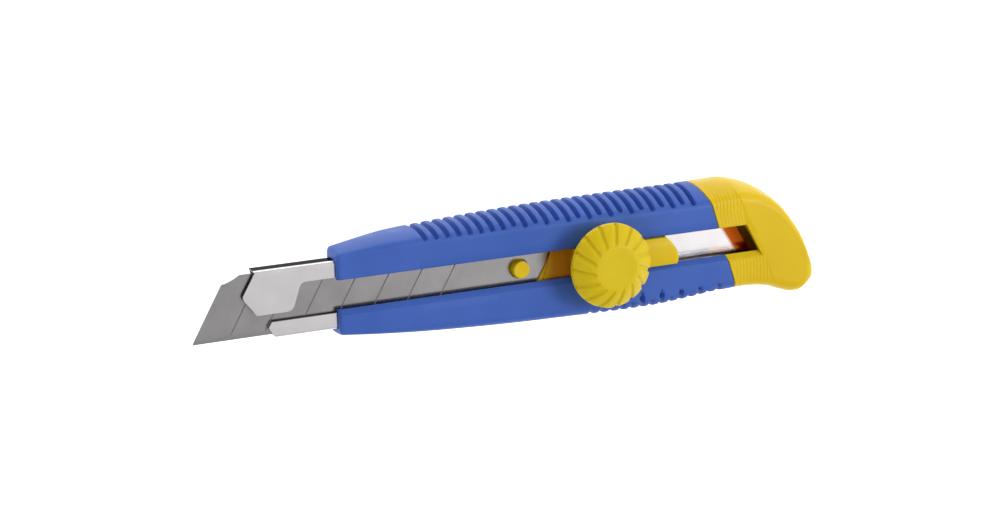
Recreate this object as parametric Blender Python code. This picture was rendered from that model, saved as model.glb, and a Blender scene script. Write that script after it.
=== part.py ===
"""Snap-off utility knife with a screw lock: handle, steel channel, blade, carrier, lock wheel and end cap.

Lengths in this file are millimetres, and to_object turns them into metres. The knife lies on its flat back.
+X runs from the blade's tip to the end cap, +Y from the cutting edge to the spine, +Z from the back to the
wheel. The origin is on the flat back, under the centre line of the slot.
"""

import math

import bmesh
import bpy
import numpy as np

MM = 0.001
GAP = 0.3

# Handle and cap together, as one outline that the parting plane splits
HANDLE_FRONT_X = -68.8
PARTING_X = 52.2
PARTING_SLOPE = -0.31
CAP_END_X = 84.4
FACE_Z = 16.3
NOSE_ROUND = 1.5
CAP_END_ROUND = 4.0
CAP_END_FLATTEN = 0.75
TOP_EDGE = [
    (-68.8, 12.6), (-61, 13.7), (-52, 14.7), (-42, 15.2), (-25, 16.1), (-8, 16.6), (20, 16.9), (45, 17.2),
    (57, 17.3), (61.5, 16.6), (66, 15.0), (72, 11.3), (76, 7.2), (80, 1.2), (82.5, -5.1), (84.4, -12.4),
]
BOTTOM_EDGE = [
    (-68.8, -12.0), (-60, -13.2), (-45, -14.9), (-30, -16.0), (-15, -16.9), (2, -17.6), (20, -18.2), (28, -18.2),
    (40, -17.6), (52, -16.6), (62, -16.1), (70, -17.2), (74, -18.7), (77.2, -19.6), (80.1, -19.3), (83, -17.0),
    (84.4, -14.2),
]
BACK_FACE = [(-68.8, 6.8), (-60, 4.0), (-50, 1.5), (-42, 0.3), (-36, 0.0), (84.4, 0.0)]
CROWN_Z = [(-68.8, 9.0), (-40, 8.0), (20, 4.5), (84.4, 6.0)]
CROWN_DROP_TOP = [(-68.8, 0.9), (-40, 1.7), (0, 3.2), (45, 4.2), (66, 2.5), (84.4, 1.0)]
CROWN_DROP_BOTTOM = [(-68.8, 0.8), (-40, 1.4), (0, 2.2), (45, 2.5), (66, 1.5), (84.4, 1.0)]
FRONT_CORNER = [(-68.8, 1.6), (-30, 2.0), (52, 2.2), (66, 3.6), (84.4, 4.0)]
BACK_CORNER = [(-68.8, 1.8), (-30, 2.8), (52, 3.0), (66, 3.8), (84.4, 4.0)]
BACK_DROP = 0.5

# Slot along the front face
SLOT_HALF = 4.4
SLOT_CHAMFER = 1.5
SLOT_END_X = 62.3
SLOT_END_SLOPE = -0.44

# Finger grooves over the spine and under the belly
TOP_GROOVE_PITCH = 3.4
BOTTOM_GROOVE_PITCH = 3.24
GROOVE_WIDTH = 1.5
GROOVE_DEPTH = 0.8
TOP_GROOVE_FIRST_X = -42.4
TOP_GROOVES = 26
TOP_GROOVES_EVEN = 8
TOP_GROOVE_END_Y = 12.6
SHORT_GROOVE_EXTRA = 1.0
BOTTOM_GROOVE_LAST_X = 51.0
BOTTOM_GROOVES = 14
BOTTOM_GROOVE_END_Y = -12.7

# Steel channel
CHANNEL_HALF = 9.8
CHANNEL_WALL = 0.55
CHANNEL_BACK_Z = 9.0
CHANNEL_FRONT_Z = 14.5
LIP_HALF_GAP = 5.1
CHANNEL_NOSE_X = -92.0
CHANNEL_END_X = 61.8
CHANNEL_END_SLOPE = -0.627
LOWER_LIP_NOSE = [(-88.7, -6.7), (-87.7, -LIP_HALF_GAP)]
LOWER_NOSE_X = -86.7
HOOK_BLADE_END = (-95.7, 2.55)
HOOK_BOTTOM_LEFT = (-91.8, -2.75)
HOOK_BOTTOM_RIGHT = (-81.6, -2.75)
HOOK_REAR = (-79.5, 2.7)
HOOK_FILLET_END_X = -77.3
RETAINING_TAB = (6.0, 3.0, 0.5)

# Blade
BLADE_TIP_X = -110.0
BLADE_LENGTH = 100.0
BLADE_HALF = 9.0
BLADE_BACK_Z = 12.5
BLADE_THICKNESS = 0.5
BLADE_ANGLE = math.radians(60)
SEGMENT = 10.0
SEGMENTS = 8
EDGE_BAND = 1.3
EDGE_THICKNESS = 0.06
SCORE_DEPTH = 0.14
SCORE_WIDTH = 0.36
NIP_LENGTH = 4.0
NIP_HEIGHT = 2.1
BLADE_HOLE_RADIUS = 3.0

# Carrier
PIN_X = -13.5
PIN_RADIUS = 2.65
PIN_TOP_Z = 15.7
CARRIER_FRONT_X = -24.0
CARRIER_REAR_X = 35.4
CARRIER_HALF = 9.0
CARRIER_BASE_TOP_Z = 12.2
CARRIER_BLOCK_TOP_Z = 13.6
RISER_HALF = 4.1
RISER_TOP_Z = 16.0
TONGUE_FRONT_X = 21.8
TONGUE_HEIGHT = 1.9
TONGUE_REAR_SLOPE = -0.44

# Screw lock
WHEEL_X = 11.6
WHEEL_RADIUS = 12.4
WHEEL_BOTTOM_Z = 16.65
BOSS_RADIUS = 9.4
BOSS_TOP_Z = 17.9
RIM_LOW_Z = 22.2
RIM_HIGH_Z = 23.7
WHEEL_TOP_Z = 27.3
HUB_RADIUS = 6.3
WHEEL_FLUTES = 15
FLUTE_SWIRL = math.radians(-13)
FLUTE_HALF_WIDTH = 0.35
FLUTE_DEPTH_AT_HUB = 0.35
FLUTE_DEPTH_AT_RIM = 1.0
WASHER_POCKET_RADIUS = 8.4
WASHER_POCKET_TOP_Z = 18.3
BOLT_RADIUS = 2.45
BOLT_TOP_Z = 24.0
BOLT_HEAD_FLATS = 8.0
BOLT_HEAD_HEIGHT = 2.3
NUT_FLATS = 8.0
NUT_BOTTOM_Z = 18.5
NUT_HEIGHT = 4.0
WASHER_THICKNESS = 0.6
SPRING_WAVE = 0.18

# Cap plug and the hollow that it fills
HOLLOW_HALF = 11.6
HOLLOW_BACK_Z = 2.2
HOLLOW_FRONT_Z = 7.6
HOLLOW_FRONT_X = -28.0
PLUG_LENGTH = 13.0
LATCH_BUMP = 0.18

# Well in the cap behind the channel's rear edge
WELL_LENGTH = 7.0
WELL_HALF = 7.0
WELL_FLOOR_Z = 2.6


# ---------- meshes ----------

def clear_scene():
    for old in list(bpy.data.objects):
        bpy.data.objects.remove(old, do_unlink=True)


def plastic(name, colour, roughness):
    return material(name, colour, roughness, 0.0)


def steel(name, colour, roughness):
    return material(name, colour, roughness, 1.0)


def material(name, colour, roughness, metallic):
    made = bpy.data.materials.new(name)
    made.use_nodes = True
    shader = made.node_tree.nodes["Principled BSDF"]
    shader.inputs["Base Color"].default_value = (*colour, 1.0)
    shader.inputs["Roughness"].default_value = roughness
    shader.inputs["Metallic"].default_value = metallic
    return made


def to_object(name, bm, look=None, pivot=(0, 0, 0), sharp_deg=35):
    """An object with its origin at pivot, from a mesh drawn in millimetres in the knife's frame."""
    bmesh.ops.recalc_face_normals(bm, faces=bm.faces)
    bmesh.ops.translate(bm, verts=bm.verts, vec=[-value for value in pivot])
    bmesh.ops.scale(bm, verts=bm.verts, vec=(MM, MM, MM))
    mesh = bpy.data.meshes.new(name)
    bm.to_mesh(mesh)
    bm.free()
    mesh.shade_smooth()
    mesh.set_sharp_from_angle(angle=math.radians(sharp_deg))
    made = bpy.data.objects.new(name, mesh)
    made.location = [value * MM for value in pivot]
    bpy.context.scene.collection.objects.link(made)
    if look:
        made.data.materials.append(look)
    return made


def helper(name, bm):
    made = to_object(name, bm)
    made.hide_render = True
    made.display_type = "WIRE"
    return made


def combine(target, other, operation):
    step = target.modifiers.new(f"{operation.lower()} {other.name}", "BOOLEAN")
    step.operation = operation
    step.object = other
    step.solver = "EXACT"


def cut(target, *cutters):
    for cutter in cutters:
        combine(target, cutter, "DIFFERENCE")


def join(target, *others):
    for other in others:
        combine(target, other, "UNION")


def prism(outline, low, high, axis="Z"):
    """A closed outline of (a, b) points, on the other two axes, extruded from low to high along an axis."""
    place = {
        "Z": lambda a, b, c: (a, b, c),
        "X": lambda a, b, c: (c, a, b),
        "Y": lambda a, b, c: (a, c, b),
    }[axis]
    bm = bmesh.new()
    bottom = [bm.verts.new(place(a, b, low)) for a, b in outline]
    top = [bm.verts.new(place(a, b, high)) for a, b in outline]
    bm.faces.new(bottom)
    bm.faces.new(top)
    for i in range(len(outline)):
        j = (i + 1) % len(outline)
        bm.faces.new((bottom[i], bottom[j], top[j], top[i]))
    return bm


def box(x0, x1, y0, y1, z0, z1):
    return prism([(x0, y0), (x1, y0), (x1, y1), (x0, y1)], z0, z1)


def circle(radius, steps, centre=(0, 0), start=0.0):
    turn = [start + 2 * math.pi * i / steps for i in range(steps)]
    return [(centre[0] + radius * math.cos(a), centre[1] + radius * math.sin(a)) for a in turn]


def hexagon(flats, centre):
    return circle(flats / math.sqrt(3), 6, centre, math.radians(30))


def turned(profile, steps, centre=(0, 0)):
    """A ring or a disc: (radius, z) points in order round the section, revolved about a line along Z."""
    bm = bmesh.new()
    rings = []
    for radius, z in profile:
        if radius < 1e-6:
            rings.append([bm.verts.new((*centre, z))] * steps)
        else:
            rings.append([bm.verts.new((x, y, z)) for x, y in circle(radius, steps, centre)])
    for i, ring in enumerate(rings):
        following = rings[(i + 1) % len(rings)]
        for j in range(steps):
            k = (j + 1) % steps
            corners = list(dict.fromkeys((ring[j], ring[k], following[k], following[j])))
            if len(corners) > 2:
                bm.faces.new(corners)
    return bm


def fillet(corner, before, after, radius, steps):
    """Points of an arc that rounds the corner between two straight runs."""
    corner, before, after = (np.array(point, float) for point in (corner, before, after))
    into = (before - corner) / np.linalg.norm(before - corner)
    away = (after - corner) / np.linalg.norm(after - corner)
    half = math.acos(max(-1.0, min(1.0, float(into @ away)))) / 2
    reach = radius / math.tan(half)
    centre = corner + (into + away) / np.linalg.norm(into + away) * radius / math.sin(half)
    first = corner + into * reach - centre
    last = corner + away * reach - centre
    sweep = math.atan2(first[0] * last[1] - first[1] * last[0], float(first @ last))
    points = []
    for i in range(steps + 1):
        angle = sweep * i / steps
        turn = np.array([[math.cos(angle), -math.sin(angle)], [math.sin(angle), math.cos(angle)]])
        points.append(tuple(centre + turn @ first))
    return points


def shared_slope(before, after):
    return (before + after) / 2 if before * after > 0 else 0.0


def smooth(knots, x):
    """Value at x of a smooth curve through (x, value) knots, flat beyond its ends and where it turns."""
    if x <= knots[0][0]:
        return knots[0][1]
    if x >= knots[-1][0]:
        return knots[-1][1]
    slopes = [
        (right[1] - left[1]) / (right[0] - left[0])
        for left, right in zip(knots, knots[1:])
    ]
    i = max(k for k in range(len(slopes)) if knots[k][0] <= x)
    before = shared_slope(slopes[i - 1], slopes[i]) if i > 0 else slopes[i]
    after = shared_slope(slopes[i], slopes[i + 1]) if i + 1 < len(slopes) else slopes[i]
    span = knots[i + 1][0] - knots[i][0]
    t = (x - knots[i][0]) / span
    return (
        (2 * t**3 - 3 * t**2 + 1) * knots[i][1]
        + (t**3 - 2 * t**2 + t) * span * before
        + (3 * t**2 - 2 * t**3) * knots[i + 1][1]
        + (t**3 - t**2) * span * after
    )


# ---------- handle outline ----------

def side_of_section(edge, drop, crown_z, low, high, front_corner, back_corner, way):
    """Points down one side of the section, from the front face to the back face. way is +1 at the spine."""
    def surface(z):
        reach = (z - crown_z) / ((high if z > crown_z else low) - crown_z)
        return edge - way * (drop if z > crown_z else BACK_DROP) * reach**2

    front = (surface(high), high)
    back = (surface(low), low)
    near_front = crown_z + (high - crown_z) * 0.72
    near_back = crown_z + (low - crown_z) * 0.35
    points = fillet(front, (0, high), (surface(near_front), near_front), front_corner, 4)
    for share in (0.55, 0.3, 0.0):
        z = crown_z + (high - crown_z) * share
        points.append((surface(z), z))
    points += fillet(back, (surface(near_back), near_back), (0, low), back_corner, 4)
    return points


def rounding(radius, depth):
    """How far a surface is pulled in at this depth behind an edge rounded to radius."""
    inside = max(0.0, radius - max(0.0, depth))
    return radius - math.sqrt(radius**2 - inside**2)


def section(x):
    """The cross-section at x, as (y, z) points that run round it, pulled in where an end is rounded."""
    nose = rounding(NOSE_ROUND, x - HANDLE_FRONT_X)
    tail = CAP_END_FLATTEN * rounding(CAP_END_ROUND, CAP_END_X - x)
    low = smooth(BACK_FACE, x) + nose + tail
    high = FACE_Z - nose - tail
    crown_z = smooth(CROWN_Z, x)
    top = smooth(TOP_EDGE, x) - nose
    bottom = smooth(BOTTOM_EDGE, x) + nose
    most = max(0.4, min(top - bottom, high - low) * 0.3)
    front_corner = min(smooth(FRONT_CORNER, x), most)
    back_corner = min(smooth(BACK_CORNER, x), most)
    middle = (top + bottom) / 2
    share = min(1.0, (top - bottom) / 12.0)

    def side(edge, drop, way):
        points = side_of_section(
            edge - middle, drop * share, crown_z, low, high, front_corner, back_corner, way
        )
        return [(y + middle, z) for y, z in points]

    spine = side(top, smooth(CROWN_DROP_TOP, x), 1)
    belly = side(bottom, smooth(CROWN_DROP_BOTTOM, x), -1)
    return spine + belly[::-1]


def stations(first, last):
    """Where sections are taken: even along the grip, close together at the rounded ends."""
    along = list(np.arange(first, last, 4.5))
    nose = [HANDLE_FRONT_X + NOSE_ROUND * share for share in (0.0, 0.12, 0.4, 1.0)]
    end = [CAP_END_X - 8.0 * share for share in (0.0, 0.03, 0.1, 0.2, 0.35, 0.55, 0.8)]
    wanted = sorted(x for x in along + nose + end if first <= x <= last)
    kept = [wanted[0]]
    for x in wanted[1:]:
        near_end = x < HANDLE_FRONT_X + NOSE_ROUND + 0.1 or x > CAP_END_X - 8.1
        if x - kept[-1] > (0.1 if near_end else 2.0):
            kept.append(x)
    return kept


def handle_form(first, last):
    bm = bmesh.new()
    rings = []
    for x in stations(first, last):
        rings.append([bm.verts.new((x, y, z)) for y, z in section(x)])
    for ring, following in zip(rings, rings[1:]):
        for j in range(len(ring)):
            k = (j + 1) % len(ring)
            bm.faces.new((ring[j], ring[k], following[k], following[j]))
    bm.faces.new(rings[0])
    bm.faces.new(rings[-1])
    return bm


def slanted(x, slope, y):
    return x + slope * y


def slanted_box(near, far, half, z0, z1):
    """A block between two upright end planes. An end (x, slope) crosses the X axis at x and leans."""
    return prism(
        [
            (slanted(*near, -half), -half), (slanted(*far, -half), -half),
            (slanted(*far, half), half), (slanted(*near, half), half),
        ],
        z0,
        z1,
    )


def slot_cutter(name):
    """The slot's straight walls and its chamfered mouth, up to the slanted end in the cap."""
    deep = CHANNEL_FRONT_Z - 1
    high = FACE_Z + 1
    wide = SLOT_HALF + SLOT_CHAMFER + 1
    outline = [
        (-SLOT_HALF, deep), (SLOT_HALF, deep), (SLOT_HALF, FACE_Z - SLOT_CHAMFER),
        (wide, high), (-wide, high), (-SLOT_HALF, FACE_Z - SLOT_CHAMFER),
    ]
    bm = prism(outline, HANDLE_FRONT_X - 5, SLOT_END_X, "X")
    for vert in bm.verts:
        if vert.co.x > 0:
            vert.co.x += SLOT_END_SLOPE * vert.co.y
    return helper(name, bm)


def channel_pocket(name):
    near = (HANDLE_FRONT_X - 5, 0.0)
    far = (CHANNEL_END_X + 3, CHANNEL_END_SLOPE)
    half = CHANNEL_HALF + GAP
    return helper(name, slanted_box(near, far, half, CHANNEL_BACK_Z - GAP, CHANNEL_FRONT_Z + GAP))


def parting_block(name, side):
    """Everything on one side of the slanted parting plane, with half of the gap between handle and cap."""
    edge = PARTING_X + side * GAP / 2
    far = edge - side * 200
    return helper(name, slanted_box((far, PARTING_SLOPE), (edge, PARTING_SLOPE), 40, -10, 40))


# ---------- finger grooves ----------

def groove(bm, x, way, end_y):
    """Adds one groove cutter: a trapezium swept round the edge of the section from the front to the back."""
    ring = section(x) if way > 0 else section(x)[::-1]
    path = [(end_y, FACE_Z)] + [(y, z) for y, z in ring if (y - end_y) * way > 0.3 and z > 0.5]
    middle = np.array([0.0, FACE_Z / 2])
    rings = []
    for i, point in enumerate(path):
        here = np.array(point, float)
        ahead = np.array(path[min(i + 1, len(path) - 1)], float)
        behind = np.array(path[max(i - 1, 0)], float)
        run = (ahead - behind) / np.linalg.norm(ahead - behind)
        out = np.array([-run[1], run[0]])
        if out @ (here - middle) < 0:
            out = -out
        depth = 0.05 if i == 0 else GROOVE_DEPTH
        inner = here - out * depth
        outer = here + out * 1.2
        low_half = GROOVE_WIDTH * 0.25
        high_half = GROOVE_WIDTH * 0.65
        rings.append([
            bm.verts.new((x - low_half, *inner)), bm.verts.new((x + low_half, *inner)),
            bm.verts.new((x + high_half, *outer)), bm.verts.new((x - high_half, *outer)),
        ])
    for ring_a, ring_b in zip(rings, rings[1:]):
        for j in range(4):
            k = (j + 1) % 4
            bm.faces.new((ring_a[j], ring_a[k], ring_b[k], ring_b[j]))
    bm.faces.new(rings[0])
    bm.faces.new(rings[-1])


def top_groove_cutters():
    bm = bmesh.new()
    for i in range(TOP_GROOVES):
        short = i >= TOP_GROOVES_EVEN and i % 2 == 0
        end_y = TOP_GROOVE_END_Y + (SHORT_GROOVE_EXTRA if short else 0.0)
        groove(bm, TOP_GROOVE_FIRST_X + i * TOP_GROOVE_PITCH, 1, end_y)
    return helper("top_groove_cutters", bm)


def bottom_groove_cutters():
    bm = bmesh.new()
    for i in range(BOTTOM_GROOVES):
        short = i % 2 == 1
        end_y = BOTTOM_GROOVE_END_Y - (SHORT_GROOVE_EXTRA * 1.6 if short else 0.0)
        groove(bm, BOTTOM_GROOVE_LAST_X - i * BOTTOM_GROOVE_PITCH, -1, end_y)
    return helper("bottom_groove_cutters", bm)


# ---------- fixed pieces ----------

def handle_body(look):
    body = to_object("handle_body", handle_form(HANDLE_FRONT_X, PARTING_X + 8), look)
    hollow = helper("handle_hollow", box(HOLLOW_FRONT_X, 90, -HOLLOW_HALF, HOLLOW_HALF,
                                         HOLLOW_BACK_Z, HOLLOW_FRONT_Z))
    notch = helper("handle_tab_notch", box(
        -RETAINING_TAB[0] - GAP, GAP, -RETAINING_TAB[1] - GAP, RETAINING_TAB[1] + GAP,
        CHANNEL_BACK_Z - RETAINING_TAB[2] - 2 * GAP, CHANNEL_BACK_Z,
    ))
    cut(body, parting_block("handle_end_cutter", -1), top_groove_cutters(), bottom_groove_cutters(),
        channel_pocket("handle_channel_pocket"), slot_cutter("handle_slot"), hollow, notch)
    return body


def end_cap(look):
    cap = to_object("end_cap", handle_form(PARTING_X - 8, CAP_END_X), look)
    front = parting_block("cap_end_cutter", 1)
    cut(cap, front, channel_pocket("cap_channel_pocket"), slot_cutter("cap_slot"))
    half = HOLLOW_HALF - GAP
    plug = helper("cap_plug", box(
        PARTING_X - PLUG_LENGTH, PARTING_X + 8, -half, half, HOLLOW_BACK_Z + GAP, HOLLOW_FRONT_Z - GAP
    ))
    join(cap, plug)
    for name, way in (("cap_latch_top", 1), ("cap_latch_bottom", -1)):
        edge = half * way
        peak = (PARTING_X - 8.5, edge + way * LATCH_BUMP)
        ridge = [(PARTING_X - 10, edge - way), (PARTING_X - 7, edge - way), peak]
        join(cap, helper(name, prism(ridge, HOLLOW_BACK_Z + 1.5, HOLLOW_FRONT_Z - 1.5)))
    near = (CHANNEL_END_X - 1.5, CHANNEL_END_SLOPE)
    far = (CHANNEL_END_X + WELL_LENGTH, CHANNEL_END_SLOPE)
    cut(cap, helper("cap_well", slanted_box(near, far, WELL_HALF, WELL_FLOOR_Z, CHANNEL_BACK_Z + 1)))
    return cap


def hook_outline():
    """The widened nose of the upper lip that holds the blade down, drawn round from its spine corner."""
    spine_left = (CHANNEL_NOSE_X, CHANNEL_HALF)
    fillet_corner = (HOOK_REAR[0] + 0.4, LIP_HALF_GAP)
    points = [spine_left]
    points += fillet(HOOK_BLADE_END, spine_left, HOOK_BOTTOM_LEFT, 1.6, 4)
    points += fillet(HOOK_BOTTOM_LEFT, HOOK_BLADE_END, HOOK_BOTTOM_RIGHT, 0.8, 2)
    points += fillet(HOOK_BOTTOM_RIGHT, HOOK_BOTTOM_LEFT, HOOK_REAR, 2.2, 4)
    points += fillet(fillet_corner, HOOK_REAR, (HOOK_FILLET_END_X + 3, LIP_HALF_GAP), 2.0, 4)
    points += [(HOOK_FILLET_END_X + 2.5, LIP_HALF_GAP), (HOOK_FILLET_END_X + 2.5, CHANNEL_HALF)]
    return points


def blade_channel(look):
    inner = CHANNEL_HALF - CHANNEL_WALL
    floor = CHANNEL_BACK_Z + CHANNEL_WALL
    lip = CHANNEL_FRONT_Z - CHANNEL_WALL
    bend = 0.7

    def corner(y, z):
        return fillet((y, z), (0, z), (y, 12.0), bend, 3)

    outer = corner(CHANNEL_HALF, CHANNEL_BACK_Z) + corner(CHANNEL_HALF, CHANNEL_FRONT_Z)[::-1]
    inner_run = [(LIP_HALF_GAP, CHANNEL_FRONT_Z), (LIP_HALF_GAP, lip), (inner, lip), (inner, floor)]
    right = outer + inner_run
    outline = right + [(-y, z) for y, z in right[::-1]]
    channel = to_object("blade_channel", prism(outline, CHANNEL_NOSE_X - 2, CHANNEL_END_X + 8, "X"), look)
    lean = (LOWER_NOSE_X - CHANNEL_NOSE_X) / (2 * CHANNEL_HALF)
    trim = [
        (-120, 15), (CHANNEL_NOSE_X - 5.2 * lean, 15), (CHANNEL_NOSE_X, CHANNEL_HALF),
        LOWER_LIP_NOSE[1], LOWER_LIP_NOSE[0], (LOWER_NOSE_X, -CHANNEL_HALF), (LOWER_NOSE_X, -15), (-120, -15),
    ]
    rear = slanted_box((CHANNEL_END_X, CHANNEL_END_SLOPE), (120, 0.0), 15, 0, 30)
    cut(channel, helper("channel_nose_trim", prism(trim, 0, 30)), helper("channel_rear_trim", rear))
    hook = prism(hook_outline(), lip, CHANNEL_FRONT_Z)
    for vert in hook.verts:
        if vert.co.y > CHANNEL_HALF - 0.01:
            vert.co.y = CHANNEL_HALF - bend
    join(channel, helper("channel_hook", hook))
    tab = box(-RETAINING_TAB[0], 0, -RETAINING_TAB[1], RETAINING_TAB[1],
              CHANNEL_BACK_Z - RETAINING_TAB[2], CHANNEL_BACK_Z + 0.2)
    join(channel, helper("channel_tab", tab))
    return channel


# ---------- sliding pieces ----------

def blade_x(start, y):
    return start + (y + BLADE_HALF) / math.tan(BLADE_ANGLE)


def blade(look):
    """Rows of points from the cutting edge to the spine, each with a front and a tail end at two faces."""
    middle = BLADE_BACK_Z + BLADE_THICKNESS / 2
    tail_x = BLADE_TIP_X + BLADE_LENGTH
    rows = [(-BLADE_HALF, EDGE_THICKNESS, 0.0), (-BLADE_HALF + EDGE_BAND, BLADE_THICKNESS, 0.0)]
    rows += [(BLADE_HALF - NIP_HEIGHT, BLADE_THICKNESS, 0.0)]
    for share in (0.35, 0.7, 1.0):
        rows.append((BLADE_HALF - NIP_HEIGHT * (1 - share), BLADE_THICKNESS, NIP_LENGTH * share**0.6))
    bm = bmesh.new()
    rings = []
    for y, thickness, nip in rows:
        front = blade_x(BLADE_TIP_X, y) + nip
        tail = blade_x(tail_x, y)
        low = middle - thickness / 2
        high = middle + thickness / 2
        corners = ((front, y, low), (tail, y, low), (tail, y, high), (front, y, high))
        rings.append([bm.verts.new(corner) for corner in corners])
    for ring, following in zip(rings, rings[1:]):
        for j in range(4):
            k = (j + 1) % 4
            bm.faces.new((ring[j], ring[k], following[k], following[j]))
    bm.faces.new(rings[0])
    bm.faces.new(rings[-1])
    strip = to_object("blade", bm, look, pivot=(WHEEL_X, 0, BLADE_BACK_Z))
    hole = helper("blade_hole", prism(circle(BLADE_HOLE_RADIUS, 24, (PIN_X, 0)), 0, 30))
    cut(strip, score_cutters(), hole)
    return strip


def score_cutters():
    bm = bmesh.new()
    top = BLADE_BACK_Z + BLADE_THICKNESS
    for i in range(1, SEGMENTS):
        start = BLADE_TIP_X + i * SEGMENT
        rings = []
        for y in (-BLADE_HALF + EDGE_BAND - 0.1, BLADE_HALF + 1):
            x = blade_x(start, y)
            high = top + SCORE_DEPTH
            corners = ((x, y, top - SCORE_DEPTH), (x + SCORE_WIDTH, y, high), (x - SCORE_WIDTH, y, high))
            rings.append([bm.verts.new(corner) for corner in corners])
        bm.faces.new(rings[0])
        bm.faces.new(rings[1])
        for j in range(3):
            k = (j + 1) % 3
            bm.faces.new((rings[0][j], rings[0][k], rings[1][k], rings[1][j]))
    return helper("blade_score_cutters", bm)


def tongue():
    """The arched thumb rest behind the wheel, with a ramp in front and a slanted end."""
    rings = []
    bm = bmesh.new()
    rear = CARRIER_REAR_X
    base = RISER_TOP_Z - 0.8
    lean = TONGUE_REAR_SLOPE
    for x, slope, rise in (
        (TONGUE_FRONT_X, 0.0, 0.12), (TONGUE_FRONT_X + 1.6, 0.0, 0.95), (TONGUE_FRONT_X + 3.0, 0.0, 1.0),
        (rear - 1.2, lean, 1.0), (rear - 0.3, lean, 0.82), (rear, lean, 0.5),
    ):
        ring = [(-RISER_HALF, base)]
        for i in range(9):
            y = -RISER_HALF + 2 * RISER_HALF * i / 8
            ring.append((y, RISER_TOP_Z + 0.1 + TONGUE_HEIGHT * rise * (1 - (y / (RISER_HALF + 0.4)) ** 2)))
        ring.append((RISER_HALF, base))
        rings.append([bm.verts.new((x + slope * y, y, z)) for y, z in ring])
    for ring, following in zip(rings, rings[1:]):
        for j in range(len(ring)):
            k = (j + 1) % len(ring)
            bm.faces.new((ring[j], ring[k], following[k], following[j]))
    bm.faces.new(rings[0])
    bm.faces.new(rings[-1])
    return helper("carrier_tongue", bm)


def blade_carrier(look):
    base_z = CHANNEL_BACK_Z + CHANNEL_WALL + GAP
    rear = (CARRIER_REAR_X, TONGUE_REAR_SLOPE)
    base = slanted_box((CARRIER_FRONT_X, 0.0), rear, CARRIER_HALF, base_z, CARRIER_BASE_TOP_Z)
    carrier = to_object("blade_carrier", base, look, pivot=(WHEEL_X, 0, base_z))
    tail = BLADE_TIP_X + BLADE_LENGTH + GAP + 0.3
    behind_blade = [
        (blade_x(tail, -CARRIER_HALF), -CARRIER_HALF), (slanted(*rear, -CARRIER_HALF), -CARRIER_HALF),
        (slanted(*rear, CARRIER_HALF), CARRIER_HALF), (blade_x(tail, CARRIER_HALF), CARRIER_HALF),
    ]
    block = helper("carrier_block", prism(behind_blade, CARRIER_BASE_TOP_Z - 0.5, CARRIER_BLOCK_TOP_Z))
    riser_outline = [
        (blade_x(tail, -RISER_HALF) + 1.0, -RISER_HALF),
        (slanted(CARRIER_REAR_X - 0.4, TONGUE_REAR_SLOPE, -RISER_HALF), -RISER_HALF),
        (slanted(CARRIER_REAR_X - 0.4, TONGUE_REAR_SLOPE, RISER_HALF), RISER_HALF),
        (blade_x(tail, RISER_HALF) + 1.0, RISER_HALF),
    ]
    riser = helper("carrier_riser", prism(riser_outline, CARRIER_BLOCK_TOP_Z - 0.5, RISER_TOP_Z))
    pin_profile = [
        (0, CARRIER_BASE_TOP_Z - 0.5), (PIN_RADIUS, CARRIER_BASE_TOP_Z - 0.5), (PIN_RADIUS, PIN_TOP_Z - 0.6),
        (PIN_RADIUS - 0.2, PIN_TOP_Z - 0.2), (PIN_RADIUS - 0.6, PIN_TOP_Z), (0, PIN_TOP_Z),
    ]
    pin = helper("carrier_pin", turned(pin_profile, 24, (PIN_X, 0)))
    join(carrier, block, riser, tongue(), pin)
    bore = helper("carrier_bore", prism(circle(BOLT_RADIUS + GAP, 20, (WHEEL_X, 0)), 0, 30))
    head_space = helper("carrier_head_space", prism(
        hexagon(BOLT_HEAD_FLATS + 2 * GAP, (WHEEL_X, 0)), 0, base_z + 0.15 + BOLT_HEAD_HEIGHT + GAP
    ))
    cut(carrier, bore, head_space)
    return carrier


# ---------- screw lock ----------

def clamp_bolt(look):
    low = CHANNEL_BACK_Z + CHANNEL_WALL + GAP + 0.15
    head = prism(hexagon(BOLT_HEAD_FLATS, (WHEEL_X, 0)), low, low + BOLT_HEAD_HEIGHT)
    bolt = to_object("clamp_bolt", head, look, pivot=(WHEEL_X, 0, low))
    profile = [
        (0, low + 1), (BOLT_RADIUS, low + 1), (BOLT_RADIUS, BOLT_TOP_Z - 0.4),
        (BOLT_RADIUS - 0.4, BOLT_TOP_Z), (0, BOLT_TOP_Z),
    ]
    join(bolt, helper("bolt_shank", turned(profile, 24, (WHEEL_X, 0))))
    return bolt


def dome_z(radius):
    """Height of the wheel's domed top at this distance from its axis."""
    share = (radius - HUB_RADIUS) / (WHEEL_RADIUS - HUB_RADIUS)
    bulge = 0.45 * math.sin(math.pi * max(0.0, min(1.0, share)))
    return WHEEL_TOP_Z + (RIM_HIGH_Z - WHEEL_TOP_Z) * share + bulge


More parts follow.
